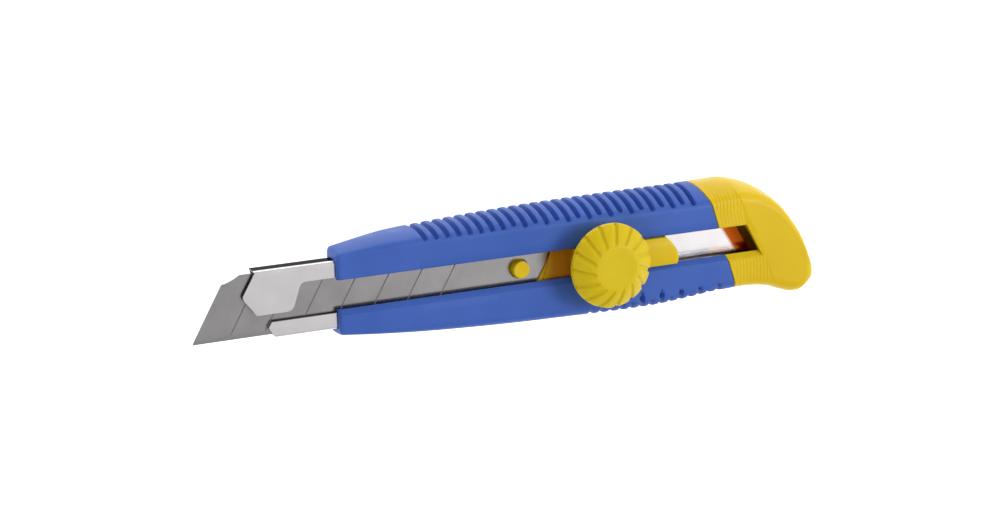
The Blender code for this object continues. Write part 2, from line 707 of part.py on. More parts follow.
def wheel_flutes():
    """Curved grooves that run from the hub down the dome of the wheel and notch its rim."""
    bm = bmesh.new()
    for i in range(WHEEL_FLUTES):
        start = 2 * math.pi * i / WHEEL_FLUTES
        rings = []
        for share in (0.04, 0.3, 0.6, 0.85, 1.1):
            radius = HUB_RADIUS + (WHEEL_RADIUS - HUB_RADIUS) * share
            angle = start + FLUTE_SWIRL * share**0.75
            floor = dome_z(radius) - FLUTE_DEPTH_AT_HUB - (FLUTE_DEPTH_AT_RIM - FLUTE_DEPTH_AT_HUB) * share
            ring = []
            for side, z in ((-1, floor), (1, floor), (1.9, floor + 2.2), (-1.9, floor + 2.2)):
                across = side * FLUTE_HALF_WIDTH
                ring.append(bm.verts.new((
                    WHEEL_X + radius * math.cos(angle) - across * math.sin(angle),
                    radius * math.sin(angle) + across * math.cos(angle),
                    z,
                )))
            rings.append(ring)
        for ring, following in zip(rings, rings[1:]):
            for j in range(4):
                k = (j + 1) % 4
                bm.faces.new((ring[j], ring[k], following[k], following[j]))
        bm.faces.new(rings[0])
        bm.faces.new(rings[-1])
    return helper("wheel_flute_cutters", bm)


def lock_wheel(look):
    """A domed knob on a narrower boss. Its underside flares out from the boss to the rim."""
    bore = BOLT_RADIUS + GAP + 0.2
    profile = [
        (WASHER_POCKET_RADIUS, WHEEL_BOTTOM_Z), (BOSS_RADIUS, WHEEL_BOTTOM_Z), (BOSS_RADIUS, BOSS_TOP_Z),
        (WHEEL_RADIUS - 0.4, RIM_LOW_Z - 0.2), (WHEEL_RADIUS, RIM_LOW_Z + 0.2),
        (WHEEL_RADIUS, RIM_HIGH_Z - 0.3),
    ]
    for share in (0.95, 0.8, 0.6, 0.4, 0.2, 0.06):
        radius = HUB_RADIUS + (WHEEL_RADIUS - HUB_RADIUS) * share
        profile.append((radius, dome_z(radius)))
    profile += [
        (HUB_RADIUS - 0.5, WHEEL_TOP_Z), (0, WHEEL_TOP_Z), (0, BOLT_TOP_Z + 0.5), (bore, BOLT_TOP_Z + 0.5),
        (bore, WASHER_POCKET_TOP_Z), (WASHER_POCKET_RADIUS, WASHER_POCKET_TOP_Z),
    ]
    centre = (WHEEL_X, 0)
    wheel = to_object("lock_wheel", turned(profile, 45, centre), look, pivot=(WHEEL_X, 0, WHEEL_BOTTOM_Z))
    pocket_top = NUT_BOTTOM_Z + NUT_HEIGHT + 0.15
    pocket = prism(hexagon(NUT_FLATS + GAP, centre), WASHER_POCKET_TOP_Z - 0.5, pocket_top)
    cut(wheel, wheel_flutes(), helper("wheel_nut_pocket", pocket))
    return wheel


def wheel_nut(look):
    centre = (WHEEL_X, 0)
    block = prism(hexagon(NUT_FLATS, centre), NUT_BOTTOM_Z, NUT_BOTTOM_Z + NUT_HEIGHT)
    nut = to_object("wheel_nut", block, look, pivot=(WHEEL_X, 0, NUT_BOTTOM_Z))
    cut(nut, helper("nut_bore", prism(circle(BOLT_RADIUS + GAP, 24, centre), 0, 40)))
    return nut


def thrust_washer(look):
    low = WHEEL_BOTTOM_Z
    inner = BOLT_RADIUS + 0.6
    outer = WASHER_POCKET_RADIUS - GAP
    high = low + WASHER_THICKNESS
    profile = [(inner, low), (outer, low), (outer, high), (inner, high)]
    return to_object("thrust_washer", turned(profile, 32, (WHEEL_X, 0)), look, pivot=(WHEEL_X, 0, low))


def spring_washer(look):
    """A wave washer: a thin ring that rises and dips three times round."""
    inner = BOLT_RADIUS + 0.6
    outer = 6.4
    thickness = 0.25
    middle = WHEEL_BOTTOM_Z + WASHER_THICKNESS + 0.3 + SPRING_WAVE
    steps = 36
    bm = bmesh.new()
    rings = []
    for i in range(steps):
        angle = 2 * math.pi * i / steps
        low = middle - SPRING_WAVE * math.cos(3 * angle)
        corners = [(inner, low), (outer, low), (outer, low + thickness), (inner, low + thickness)]
        rings.append([
            bm.verts.new((WHEEL_X + r * math.cos(angle), r * math.sin(angle), z)) for r, z in corners
        ])
    for i, ring in enumerate(rings):
        following = rings[(i + 1) % steps]
        for j in range(4):
            k = (j + 1) % 4
            bm.faces.new((ring[j], ring[k], following[k], following[j]))
    return to_object("spring_washer", bm, look, pivot=(WHEEL_X, 0, middle))


def main():
    clear_scene()
    blue = plastic("blue_plastic", (0.06, 0.13, 0.45), 0.5)
    yellow = plastic("yellow_plastic", (0.72, 0.53, 0.02), 0.4)
    bright = steel("bright_steel", (0.78, 0.76, 0.75), 0.15)
    ground = steel("ground_steel", (0.42, 0.41, 0.42), 0.4)
    plated = steel("plated_steel", (0.62, 0.62, 0.63), 0.3)
    handle_body(blue)
    blade_channel(bright)
    end_cap(yellow)
    blade(ground)
    blade_carrier(yellow)
    clamp_bolt(plated)
    lock_wheel(yellow)
    wheel_nut(plated)
    thrust_washer(plated)
    spring_washer(ground)


main()
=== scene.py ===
"""Looks for the snap-off utility knife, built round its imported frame.

Lengths here are millimetres in the knife's frame, and to_piece turns them into metres: +X runs from the
blade's tip to the end cap, +Y from the cutting edge to the spine, +Z from the flat back to the wheel. Six
pieces replace their CAD nodes with finer surfaces. The bolt, the nut and the two washers stay CAD nodes
with new materials.
"""

import math

import bpy
import numpy as np
from mathutils import Matrix, Vector


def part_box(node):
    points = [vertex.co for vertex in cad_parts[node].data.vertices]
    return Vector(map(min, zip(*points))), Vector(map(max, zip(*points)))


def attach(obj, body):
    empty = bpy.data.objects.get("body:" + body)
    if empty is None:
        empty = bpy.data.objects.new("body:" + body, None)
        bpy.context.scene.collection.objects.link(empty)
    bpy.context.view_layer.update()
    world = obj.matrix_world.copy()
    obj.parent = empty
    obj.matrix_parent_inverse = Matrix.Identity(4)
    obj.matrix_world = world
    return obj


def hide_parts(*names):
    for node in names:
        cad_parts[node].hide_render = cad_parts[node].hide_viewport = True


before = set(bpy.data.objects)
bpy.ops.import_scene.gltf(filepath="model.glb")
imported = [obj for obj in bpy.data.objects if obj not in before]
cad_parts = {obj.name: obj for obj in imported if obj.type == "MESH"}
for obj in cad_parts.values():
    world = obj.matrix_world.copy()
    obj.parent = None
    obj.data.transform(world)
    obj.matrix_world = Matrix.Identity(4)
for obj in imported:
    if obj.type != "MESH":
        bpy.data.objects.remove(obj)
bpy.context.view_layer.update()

MM = 0.001
GAP = 0.3


def extent(node):
    """Lowest and highest corner of a CAD node, in millimetres."""
    low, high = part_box(node)
    return np.array(low) / MM, np.array(high) / MM


grip_low, grip_high = extent("handle_body")
_, cap_high = extent("end_cap")
wheel_low, wheel_high = extent("lock_wheel")
blade_low, blade_high = extent("blade")
_, channel_high = extent("blade_channel")
carrier_low, carrier_high = extent("blade_carrier")

# Grip and cap together, as one outline that the parting plane splits
NOSE_X = grip_low[0]
CAP_END_X = cap_high[0]
FACE_Z = grip_high[2]
PARTING_X = 52.2
PARTING_SLOPE = -0.31
PARTING_GAP = 0.2
PARTING_ROUND = 0.22
GRIP_LEAN_FROM_X = 40.0
CAP_LEAN_TO_X = 76.0
NOSE_ROUND = 1.0
CAP_END_ROUND = 4.0
CAP_END_FLATTEN = 0.75
TOP_EDGE = [
    (-68.8, 12.6), (-61, 13.4), (-52, 14.3), (-42, 14.8), (-25, 15.8), (-8, 16.4), (20, 16.8), (45, 17.0),
    (57, 17.28), (61.5, 16.4), (66, 14.8), (72, 10.8), (76, 6.1), (80, -0.2), (82.5, -6.0), (84.4, -12.4),
]
BOTTOM_EDGE = [
    (-68.8, -12.0), (-60, -13.1), (-45, -14.6), (-30, -15.6), (-15, -16.3), (2, -16.8), (20, -17.3),
    (28, -17.3), (40, -16.65), (52, -15.75), (62, -15.9), (70, -17.2), (74, -18.7), (77.2, -19.6),
    (80.1, -19.3), (83, -17.0), (84.4, -14.2),
]
BACK_FACE = [(-68.8, 6.8), (-60, 4.0), (-50, 1.5), (-42, 0.3), (-36, 0.0), (84.4, 0.0)]
CROWN_Z = [(-68.8, 9.0), (-40, 8.0), (20, 4.5), (84.4, 6.0)]
CROWN_DROP_TOP = [(-68.8, 0.9), (-40, 1.7), (0, 3.2), (45, 4.2), (66, 2.5), (84.4, 1.0)]
CROWN_DROP_BOTTOM = [(-68.8, 0.8), (-40, 1.0), (0, 0.8), (45, 0.8), (54, 1.0), (66, 1.5), (84.4, 1.0)]
FRONT_CORNER = [(-68.8, 1.3), (-45, 2.2), (-30, 2.8), (52, 3.2), (66, 3.8), (84.4, 4.0)]
BACK_CORNER = [(-68.8, 1.4), (-30, 2.8), (52, 3.0), (66, 3.8), (84.4, 4.0)]
BACK_DROP = 0.5
FULL_DROP_HEIGHT = 12.0
BACK_POINTS = 6
WALL_POINTS = 4
POCKET_POINTS = 4

# Slot along the front face, and the channel's pocket under it
SLOT_LOW_Y = -4.1
SLOT_HIGH_Y = 4.6
SLOT_LOW_EDGE_Y = -5.8
SLOT_HIGH_EDGE_Y = 4.95
SLOT_CHAMFER_SHARE = 0.82
SLOT_END_DIP = 0.18
SLOT_END = (62.8, -0.535)
SLOT_END_CREASE = (64.0, -0.44)
POCKET_HALF = 9.85
POCKET_FLOOR_Z = 8.7
POCKET_ROOF_Z = 14.8

# Finger grooves over the spine and under the belly
TOP_PITCH = 3.4
TOP_FIRST_X = -42.4
TOP_COUNT = 26
TOP_EVEN = 8
TOP_END_Y = 12.6
TOP_SHORT_EXTRA = 0.9
BOTTOM_PITCH = 3.24
BOTTOM_LAST_X = 51.0
BOTTOM_COUNT = 14
BOTTOM_END_Y = -12.5
BOTTOM_SHORT_EXTRA = 1.8
GROOVE_HALF = 0.82
GROOVE_DEPTH = 1.6
GROOVE_TAIL = 1.4
GROOVED_FROM_X = -44.4
LAND_ROUNDING = 0.2
LAND_HALF = 0.95

# Ribs across the cap
RIB_FIRST_X = 51.0
RIB_PITCH = 1.15
RIB_DEPTH = 0.11
RIB_GROUND = 0.06
RIBBED_TO_X = 71.5
CAP_TAIL_LENGTH = 6.4
RIB_INNER_Y = 6.2
RIB_TOP_Y = 14.2
RIB_BOTTOM_Y = -12.8

# Distance between the rings along plain and along grooved or ribbed stretches
PLAIN_STEP = 0.6
GROOVED_STEP = 0.17
RIBBED_STEP = 0.115
CAP_STEP = 0.3

# Inside of the cap and of the grip's rear
HOLLOW_HALF = 11.6
HOLLOW_Z = (2.2, 7.6)
HOLLOW_FRONT_X = -28.0
PLUG_LENGTH = 13.0
LATCH_BUMP = 0.18
WELL_HALF = 7.0
WELL_LENGTH = 7.0
WELL_FLOOR_Z = 2.6

# Steel channel
CHANNEL_HALF = channel_high[1]
CHANNEL_WALL = 0.55
CHANNEL_BACK_Z = 9.0
CHANNEL_FRONT_Z = channel_high[2]
LIP_HALF_GAP = 5.1
CHANNEL_NOSE_X = -92.0
LOWER_NOSE_X = -86.7
CHANNEL_END = (61.8, -0.627)
BEND = 0.9
FLOOR_DISH = 0.3
DISH_START_Y = -1.8
DISH_WIDTH = 4.0
DISH_END_Y = (-5.9, -5.1)
REAR_LEAN_LENGTH = 15.0
REAR_LIFT = 0.22
REAR_LIFT_LENGTH = 4.8
HOOK_BLADE_END = (-95.7, 2.55)
HOOK_BOTTOM_LEFT = (-91.8, -2.75)
HOOK_BOTTOM_RIGHT = (-81.6, -2.75)
HOOK_REAR = (-79.5, 2.7)
HOOK_FILLET_END_X = -77.3
TAB_LENGTH = 6.0
TAB_HALF = 3.0

# Blade
BLADE_TIP_X = blade_low[0]
BLADE_LENGTH = 100.0
BLADE_HALF = blade_high[1]
BLADE_BACK_Z = blade_low[2]
BLADE_THICKNESS = 0.5
BLADE_ANGLE = math.radians(60)
SEGMENT = 10.0
SEGMENTS = 8
EDGE_BAND = 1.3
EDGE_THICKNESS = 0.06
SCORE_HALF = 0.26
SCORE_DEPTH = 0.14
SCORE_LIFT = 0.06
NIP_LENGTH = 4.0
NIP_HEIGHT = 2.1
HOLE_RADIUS = 3.0
TAIL_GAP = 0.02

# Carrier
PIN_X = -13.0
PIN_RADIUS = 2.55
PIN_TOP_Z = 15.3
PIN_ROUND = 0.35
CARRIER_FRONT_X = carrier_low[0]
CARRIER_END = (35.4, -0.44)
CARRIER_HALF = carrier_high[1]
CARRIER_BASE_Z = carrier_low[2]
CARRIER_BASE_TOP_Z = 12.2
CARRIER_BLOCK_TOP_Z = 13.6
RISER_Y = (-3.95, 4.4)
RISER_TOP_Z = 16.0
RISER_FRONT = (-4.45, 0.29)
RISER_STEP_X = 2.5
RISER_LOW_Z = 14.0
TONGUE_FRONT_X = 21.8
TONGUE_RAMP = 3.2
TONGUE_ARCH = 0.4
TONGUE_END_ROUND = 0.9
TONGUE_END_BULGE = 1.5
TONGUE_HEIGHT = carrier_high[2] - RISER_TOP_Z - 0.1

# Screw lock
WHEEL_X, WHEEL_Y = (wheel_low[:2] + wheel_high[:2]) / 2
WHEEL_RADIUS = 12.48
WHEEL_BOTTOM_Z = wheel_low[2]
WHEEL_TOP_Z = wheel_high[2]
BOSS_RADIUS = 9.4
BOSS_TOP_Z = 17.9
RIM_LOW_Z = 22.2
RIM_HIGH_Z = 23.7
RIM_ROUND = 0.7
RIM_LOW_ROUND = 0.3
HUB_RADIUS = 6.3
FLUTES = 15
FLUTE_SWIRL = math.radians(-13)
FLUTE_HALF = 0.7
FLUTE_DEPTH = (0.25, 0.62)
FLUTE_LOW_Z = 22.75
FLUTE_LOBE = 0.12
WHEEL_STEPS = 720
WHEEL_INSIDE_POINTS = 6
BOLT_RADIUS = 2.45
BOLT_HEAD_FLATS = 8.0
BOLT_HEAD_HEIGHT = 2.3
BOLT_HEAD_SINK = 0.15
NUT_FLATS = 8.0
NUT_POCKET_TOP_Z = 22.65
WASHER_POCKET = (8.4, 18.3)

# Looks
# painted dark reflection, for the channel's outer flanks
PAINTED_DARK_REFLECTION = (0.035, 0.033, 0.032)
# painted orange reflection of the cap's shaded inside, for the channel floor's rear end
PAINTED_ORANGE_REFLECTION = (0.46, 0.085, 0.006)
# painted brown shade of the wheel's shadow, for the carrier's shelf
PAINTED_WHEEL_SHADE = (0.42, 0.16, 0.004)
GLOW_DEPTH = 3.0
GLOW_SPREAD = (1.0, 0.3, 0.05)
STEEL_EDGE_TINT = (0.4, 0.4, 0.4, 1)

# Stage, in metres
LAMP_DISTANCE = 1.1
SKY_TOWARDS = (0.80, 0.0, 0.60)
SKY_STRENGTH = 2.0
SKY_LEVELS = [(0.0, 0.14), (0.45, 0.19), (0.75, 0.29), (0.918, 0.35), (0.942, 0.60), (1.0, 0.62)]
FLOOR_HALF = 3.0
FLOOR_Z = -0.0002
CAMERA_LENS = 73.577
CAMERA_PLACE = (-0.23631, 0.15520, 0.53515)
CAMERA_TURN = (-14.434, -23.035, -1.734)


# ---------- curves and arrays ----------

def smooth(knots, x):
    """Values at x of a smooth curve through (x, value) knots, flat beyond its ends and where it turns."""
    at, value = np.array(knots, float).T
    slope = np.diff(value) / np.diff(at)
    tangent = np.concatenate([slope[:1], (slope[:-1] + slope[1:]) / 2, slope[-1:]])
    turning = np.concatenate([[False], slope[:-1] * slope[1:] <= 0, [False]])
    tangent[turning] = 0.0
    x = np.clip(x, at[0], at[-1])
    i = np.clip(np.searchsorted(at, x, side="right") - 1, 0, len(slope) - 1)
    span = at[i + 1] - at[i]
    t = (x - at[i]) / span
    return (
        (2 * t**3 - 3 * t**2 + 1) * value[i]
        + (t**3 - 2 * t**2 + t) * span * tangent[i]
        + (3 * t**2 - 2 * t**3) * value[i + 1]
        + (t**3 - t**2) * span * tangent[i + 1]
    )


def ease(low, high, x):
    """0 below low, 1 above high, and a smooth step between them."""
    t = np.clip((x - low) / (high - low), 0.0, 1.0)
    return t * t * (3 - 2 * t)


def rounding(radius, depth):
    """How far a surface is pulled in at this depth behind an edge rounded to radius."""
    inside = np.clip(radius - depth, 0.0, radius)
    return radius - np.sqrt(radius**2 - inside**2)


def pair(y, z):
    return np.stack(np.broadcast_arrays(y, z), -1).astype(float)


def unit(v):
    return v / np.linalg.norm(v, axis=-1, keepdims=True)


def arc(corner, before, after, radius, steps):
    """Points of the arcs that round corners between two straight runs, in a new last-but-one axis."""
    corner, before, after = (np.asarray(point, float) for point in (corner, before, after))
    into = unit(before - corner)
    away = unit(after - corner)
    half = np.arccos(np.clip((into * away).sum(-1, keepdims=True), -1, 1)) / 2
    radius = np.asarray(radius, float)[..., None]
    centre = corner + unit(into + away) * radius / np.sin(half)
    first = corner + into * radius / np.tan(half) - centre
    last = corner + away * radius / np.tan(half) - centre
    sweep = np.arctan2(first[..., 0] * last[..., 1] - first[..., 1] * last[..., 0], (first * last).sum(-1))
    angle = sweep[..., None] * np.linspace(0, 1, steps + 1)
    a = first[..., 0, None] * np.cos(angle) - first[..., 1, None] * np.sin(angle)
    b = first[..., 0, None] * np.sin(angle) + first[..., 1, None] * np.cos(angle)
    return centre[..., None, :] + pair(a, b)


def fillet(corner, before, after, radius, steps):
    return [tuple(point) for point in arc(corner, before, after, radius, steps)]


def leaning(plane, y):
    """X of an upright plane (x, slope) at y."""
    return plane[0] + plane[1] * y


# ---------- meshes ----------

def mesh_of(name, points, faces):
    mesh = bpy.data.meshes.new(name)
    mesh.from_pydata(points, [], faces)
    return mesh


def lofted(name, rings):
    """A mesh through (rings, points, 3) closed rings, with a face over each end."""
    count, size = rings.shape[:2]
    here = np.arange(size)
    ahead = np.roll(here, -1)
    quads = [
        np.stack([here + i * size, ahead + i * size, ahead + (i + 1) * size, here + (i + 1) * size], 1)
        for i in range(count - 1)
    ]
    faces = np.concatenate(quads).tolist()
    faces += [list(range(size))[::-1], list(range((count - 1) * size, count * size))]
    return mesh_of(name, rings.reshape(-1, 3).tolist(), faces)


def prism(name, outline, low, high):
    """A closed outline of (x, y) points, extruded upwards from low to high."""
    outline = np.array(outline, float)
    rings = np.stack([np.column_stack([outline, np.full(len(outline), z)]) for z in (low, high)])
    return lofted(name, rings)


def slanted_box(name, near, far, sides, low, high):
    """A block between two upright end planes, each given as (x, slope), and from one y to the other."""
    left, right = sides
    corners = [(leaning(near, left), left), (leaning(far, left), left),
               (leaning(far, right), right), (leaning(near, right), right)]
    return prism(name, corners, low, high)


def circle(radius, steps, centre=(0, 0), start=0.0):
    turn = start + 2 * np.pi * np.arange(steps) / steps
    return np.column_stack([centre[0] + radius * np.cos(turn), centre[1] + radius * np.sin(turn)])


def hexagon(flats):
    return circle(flats / math.sqrt(3), 6, (WHEEL_X, WHEEL_Y), math.radians(30))


def to_piece(mesh, look=None):
    """An object from a mesh drawn in millimetres, with its faces turned outwards."""
    mesh.transform(Matrix.Scale(MM, 4))
    made = bpy.data.objects.new(mesh.name, mesh)
    bpy.context.scene.collection.objects.link(made)
    if look:
        mesh.materials.append(look)
    outwards(mesh)
    return made


def outwards(mesh):
    """Turns every face round if the closed mesh is inside out."""
    mesh.calc_loop_triangles()
    corners = np.array([mesh.vertices[i].co for triangle in mesh.loop_triangles for i in triangle.vertices])
    a, b, c = corners.reshape(-1, 3, 3).transpose(1, 0, 2)
    if (a * np.cross(b, c)).sum() < 0:
        mesh.flip_normals()


def carve(target, cutters=(), additions=()):
    """Joins additions to target, cuts cutters from it, applies both and removes the helper objects."""
    helpers = [(to_piece(mesh), "UNION") for mesh in additions]
    helpers += [(to_piece(mesh), "DIFFERENCE") for mesh in cutters]
    for helper, operation in helpers:
        step = target.modifiers.new(helper.name, "BOOLEAN")
        step.operation = operation
        step.object = helper
        step.solver = "EXACT"
    bpy.context.view_layer.update()
    evaluated = target.evaluated_get(bpy.context.evaluated_depsgraph_get())
    result = bpy.data.meshes.new_from_object(evaluated)
    target.modifiers.clear()
    target.data = result
    for helper, _ in helpers:
        bpy.data.objects.remove(helper, do_unlink=True)


def dress(piece, body, node, sharp_deg=32, edge=0.0):
    """Shading, an optional small edge radius, and the piece's place in the frame."""
    piece.data.shade_smooth()
    piece.data.set_sharp_from_angle(angle=math.radians(sharp_deg))
    if edge:
        bevel = piece.modifiers.new("edge radius", "BEVEL")
        bevel.width = edge * MM
        bevel.segments = 3
        bevel.limit_method = "ANGLE"
        bevel.angle_limit = math.radians(40)
        bevel.harden_normals = True
    weighted = piece.modifiers.new("weighted normals", "WEIGHTED_NORMAL")
    weighted.keep_sharp = True
    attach(piece, body)
    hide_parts(node)


# ---------- grip and cap surfaces ----------

def half_section(x, way, start_y):
    """One side of the section at every x: from start_y on the face, over the edge, to the flat back.

    way is +1 at the spine and -1 at the belly. The result has the shape (len(x), points, 2).
    """
    nose = rounding(NOSE_ROUND, x - NOSE_X)
    tail = CAP_END_FLATTEN * rounding(CAP_END_ROUND, CAP_END_X - x)
    low = (smooth(BACK_FACE, x) + nose + tail)[:, None]
    high = (FACE_Z - nose - tail)[:, None]
    crown_z = smooth(CROWN_Z, x)[:, None]
    top = smooth(TOP_EDGE, x) - nose
    bottom = smooth(BOTTOM_EDGE, x) + nose
    middle = ((top + bottom) / 2)[:, None]
    crown_drop = smooth(CROWN_DROP_TOP if way > 0 else CROWN_DROP_BOTTOM, x)
    drop = crown_drop * np.minimum(1.0, (top - bottom) / FULL_DROP_HEIGHT)
    most = np.maximum(0.4, np.minimum(top - bottom, (high - low)[:, 0]) * 0.3)
    edge = (top if way > 0 else bottom)[:, None]

    def surface(z):
        above = z > crown_z
        reach = (z - crown_z) / (np.where(above, high, low) - crown_z)
        return edge - way * np.where(above, drop[:, None], BACK_DROP) * reach**2

    def corner(z, share, radius, steps, from_face):
        side_z = crown_z + (z - crown_z) * share
        at = pair(surface(z), z)[:, 0]
        inward = pair(middle, z)[:, 0]
        along = pair(surface(side_z), side_z)[:, 0]
        ends = (inward, along) if from_face else (along, inward)
        return arc(at, *ends, np.minimum(smooth(radius, x), most), steps)

    front = corner(high, 0.72, FRONT_CORNER, 12, True)
    back = corner(low, 0.35, BACK_CORNER, 8, False)
    share = np.linspace(0, 1, 20)[1:-1]
    z = front[:, -1:, 1] * (1 - share) + back[:, :1, 1] * share
    meet_front = front[:, -1:, 0] - surface(front[:, -1:, 1])
    meet_back = back[:, :1, 0] - surface(back[:, :1, 1])
    y = surface(z) + meet_front * (1 - share) ** 4 + meet_back * share**4
    face_share = np.array([0.0, 0.4, 0.7, 0.85, 0.92, 0.96])
    face_y = start_y * (1 - face_share) + front[:, :1, 0] * face_share
    return np.concatenate([pair(face_y, high), front, pair(y, z), back], 1)


def across_back(spine, belly):
    """The points of the flat back between the last ones of the two flanks."""
    share = np.linspace(0, 1, BACK_POINTS + 2)[1:-1, None]
    return spine[:, -1:] * (1 - share) + belly[:, -1:] * share


def grip_sections(x):
    """The grip's C-shaped cross-sections, with the slot's chamfered walls and the channel's pocket."""
    spine = half_section(x, 1, SLOT_HIGH_EDGE_Y)
    belly = half_section(x, -1, SLOT_LOW_EDGE_Y)
    high = spine[:, :1, 1]

    def wall(y, edge_y):
        chamfer = SLOT_CHAMFER_SHARE * abs(edge_y - y)
        bottom = pair(np.full_like(high, y), POCKET_ROOF_Z)
        top = pair(np.full_like(high, y), high - chamfer * 0.95)
        soft = pair(np.full_like(high, y * 0.9 + edge_y * 0.1), high - chamfer * 0.82)
        mouth = pair(np.full_like(high, y * 0.12 + edge_y * 0.88), high - chamfer * 0.08)
        return [bottom, top, soft, mouth]

    pocket = [(-POCKET_HALF, POCKET_ROOF_Z), (-POCKET_HALF, POCKET_FLOOR_Z),
              (POCKET_HALF, POCKET_FLOOR_Z), (POCKET_HALF, POCKET_ROOF_Z)]
    inside = np.broadcast_to(np.array(pocket), (len(x), POCKET_POINTS, 2))
    upper = wall(SLOT_HIGH_Y, SLOT_HIGH_EDGE_Y)
    lower = wall(SLOT_LOW_Y, SLOT_LOW_EDGE_Y)[::-1]
    return np.concatenate([*upper, spine, across_back(spine, belly), belly[:, ::-1], *lower, inside], 1)


def cap_sections(x):
    """The cap's closed cross-sections, as if it were solid."""
    middle = (smooth(TOP_EDGE, x) + smooth(BOTTOM_EDGE, x))[:, None] / 2
    spine = half_section(x, 1, middle)
    belly = half_section(x, -1, middle)
    return np.concatenate([spine, across_back(spine, belly), belly[:, :0:-1]], 1)


def placed(sections, x_table, u, lean):
    """Rings at stations u whose X leans by lean per millimetre of y, from a table of sections at x_table."""
    table = sections(x_table)
    size = table.shape[1]
    x = np.repeat(u[:, None], size, 1)
    for _ in range(5):
        i = np.clip(np.searchsorted(x_table, x) - 1, 0, len(x_table) - 2)
        t = np.clip((x - x_table[i]) / (x_table[i + 1] - x_table[i]), 0, 1)[..., None]
        column = np.arange(size)[None]
        yz = table[i, column] * (1 - t) + table[i + 1, column] * t
        x = u[:, None] + lean[:, None] * yz[..., 0]
    return np.concatenate([x[..., None], yz], -1)


def outward_normals(rings):
    """Normals of the rings within their own (y, z) planes, pointing away from the section's middle."""
    run = np.roll(rings[..., 1:], -1, 1) - np.roll(rings[..., 1:], 1, 1)
    normal = unit(np.stack([-run[..., 1], run[..., 0]], -1) + 1e-12)
    away = rings[..., 1:] - np.array([0.0, FACE_Z / 2])
    sign = np.sign((normal * away).sum(-1).mean(0, keepdims=True))
    return normal * sign[..., None]


def path_length(rings, way, first, last):
    """Length along each ring from the face, over the side, for the points first to last."""
    part = rings[:, first:last, 1:] if way > 0 else rings[:, first:last, 1:][:, ::-1]
    steps = np.linalg.norm(np.diff(part, axis=1), axis=-1)
    length = np.concatenate([np.zeros((len(rings), 1)), np.cumsum(steps, 1)], 1)
    length += np.abs(part[:, :1, 0])
    return length if way > 0 else length[:, ::-1]


def groove_dip(x, reach, total, centres, ends):
    """Depth of the nearest finger groove: a channel with rounded ends, between softly rounded lands."""
    dip = np.zeros_like(x)
    for centre, end in zip(centres, ends):
        across = x - centre
        before = np.maximum(0.0, end + GROOVE_HALF - reach)
        after = np.maximum(0.0, reach - (total - GROOVE_TAIL))
        distance = np.sqrt(across**2 + before**2 + after**2) / GROOVE_HALF
        channel = GROOVE_DEPTH * np.sqrt(np.clip(1 - distance**2, 0, 1))
        along = ease(end - 0.6, end + 1.6, reach) * ease(total - 0.4, total - 2.4, reach)
        land = LAND_ROUNDING * np.exp(-((across / LAND_HALF) ** 2)) * along
        dip = np.maximum(dip, channel + land)
    return dip


def top_grooves():
    centres = TOP_FIRST_X + TOP_PITCH * np.arange(TOP_COUNT)
    short = (np.arange(TOP_COUNT) >= TOP_EVEN) & (np.arange(TOP_COUNT) % 2 == 0)
    return centres, TOP_END_Y + TOP_SHORT_EXTRA * short


def bottom_grooves():
    centres = BOTTOM_LAST_X - BOTTOM_PITCH * np.arange(BOTTOM_COUNT)
    short = np.arange(BOTTOM_COUNT) % 2 == 1
    return centres, -BOTTOM_END_Y + BOTTOM_SHORT_EXTRA * short


def sink(rings, normals, dip):
    """Moves the surface inwards by dip."""
    rings[..., 1:] -= normals * dip[..., None]


def grip(look):
    """The blue moulding: rings from the nose to the slanted parting edge, with the grooves sunk in."""
    near_nose = NOSE_X + NOSE_ROUND * (1 - np.cos(np.linspace(0, math.pi / 2, 9)))
    edge = PARTING_X - PARTING_GAP / 2
    at_edge = edge - PARTING_ROUND * (1 - np.linspace(0, 1, 5))
    plain = np.arange(NOSE_X + 1.4, GROOVED_FROM_X - 0.1, PLAIN_STEP)
    grooved = np.arange(GROOVED_FROM_X, PARTING_X - 0.4, GROOVED_STEP)
    u = np.concatenate([near_nose, plain, grooved, at_edge])
    x_table = np.unique(np.concatenate([near_nose, np.arange(NOSE_X + 1.4, 62, 0.5)]))
    lean = PARTING_SLOPE * np.clip((u - GRIP_LEAN_FROM_X) / (edge - GRIP_LEAN_FROM_X), 0, 1)
    rings = placed(grip_sections, x_table, u, lean)
    normals = outward_normals(rings)
    side = (rings.shape[1] - 2 * WALL_POINTS - POCKET_POINTS - BACK_POINTS) // 2
    spine = slice(WALL_POINTS, WALL_POINTS + side)
    belly = slice(spine.stop + BACK_POINTS, spine.stop + BACK_POINTS + side)
    dip = np.zeros(rings.shape[:2])
    for where, way, grooves in ((spine, 1, top_grooves()), (belly, -1, bottom_grooves())):
        reach = path_length(rings, way, where.start, where.stop)
        total = reach.max(1, keepdims=True)
        dip[:, where] = groove_dip(rings[:, where, 0], reach, total, *grooves)
    outside = slice(spine.start, belly.stop)
    to_parting = leaning((edge, PARTING_SLOPE), rings[..., 1]) - rings[..., 0]
    dip[:, outside] = np.maximum(dip[:, outside], rounding(PARTING_ROUND, to_parting)[:, outside])
    sink(rings, normals, dip)
    body = to_piece(lofted("grip", rings), look)
    sides = (-HOLLOW_HALF, HOLLOW_HALF)
    hollow = slanted_box("grip_hollow", (HOLLOW_FRONT_X, 0), (CAP_END_X, 0), sides, *HOLLOW_Z)
    carve(body, cutters=[hollow])
    dress(body, "handle", "handle_body")


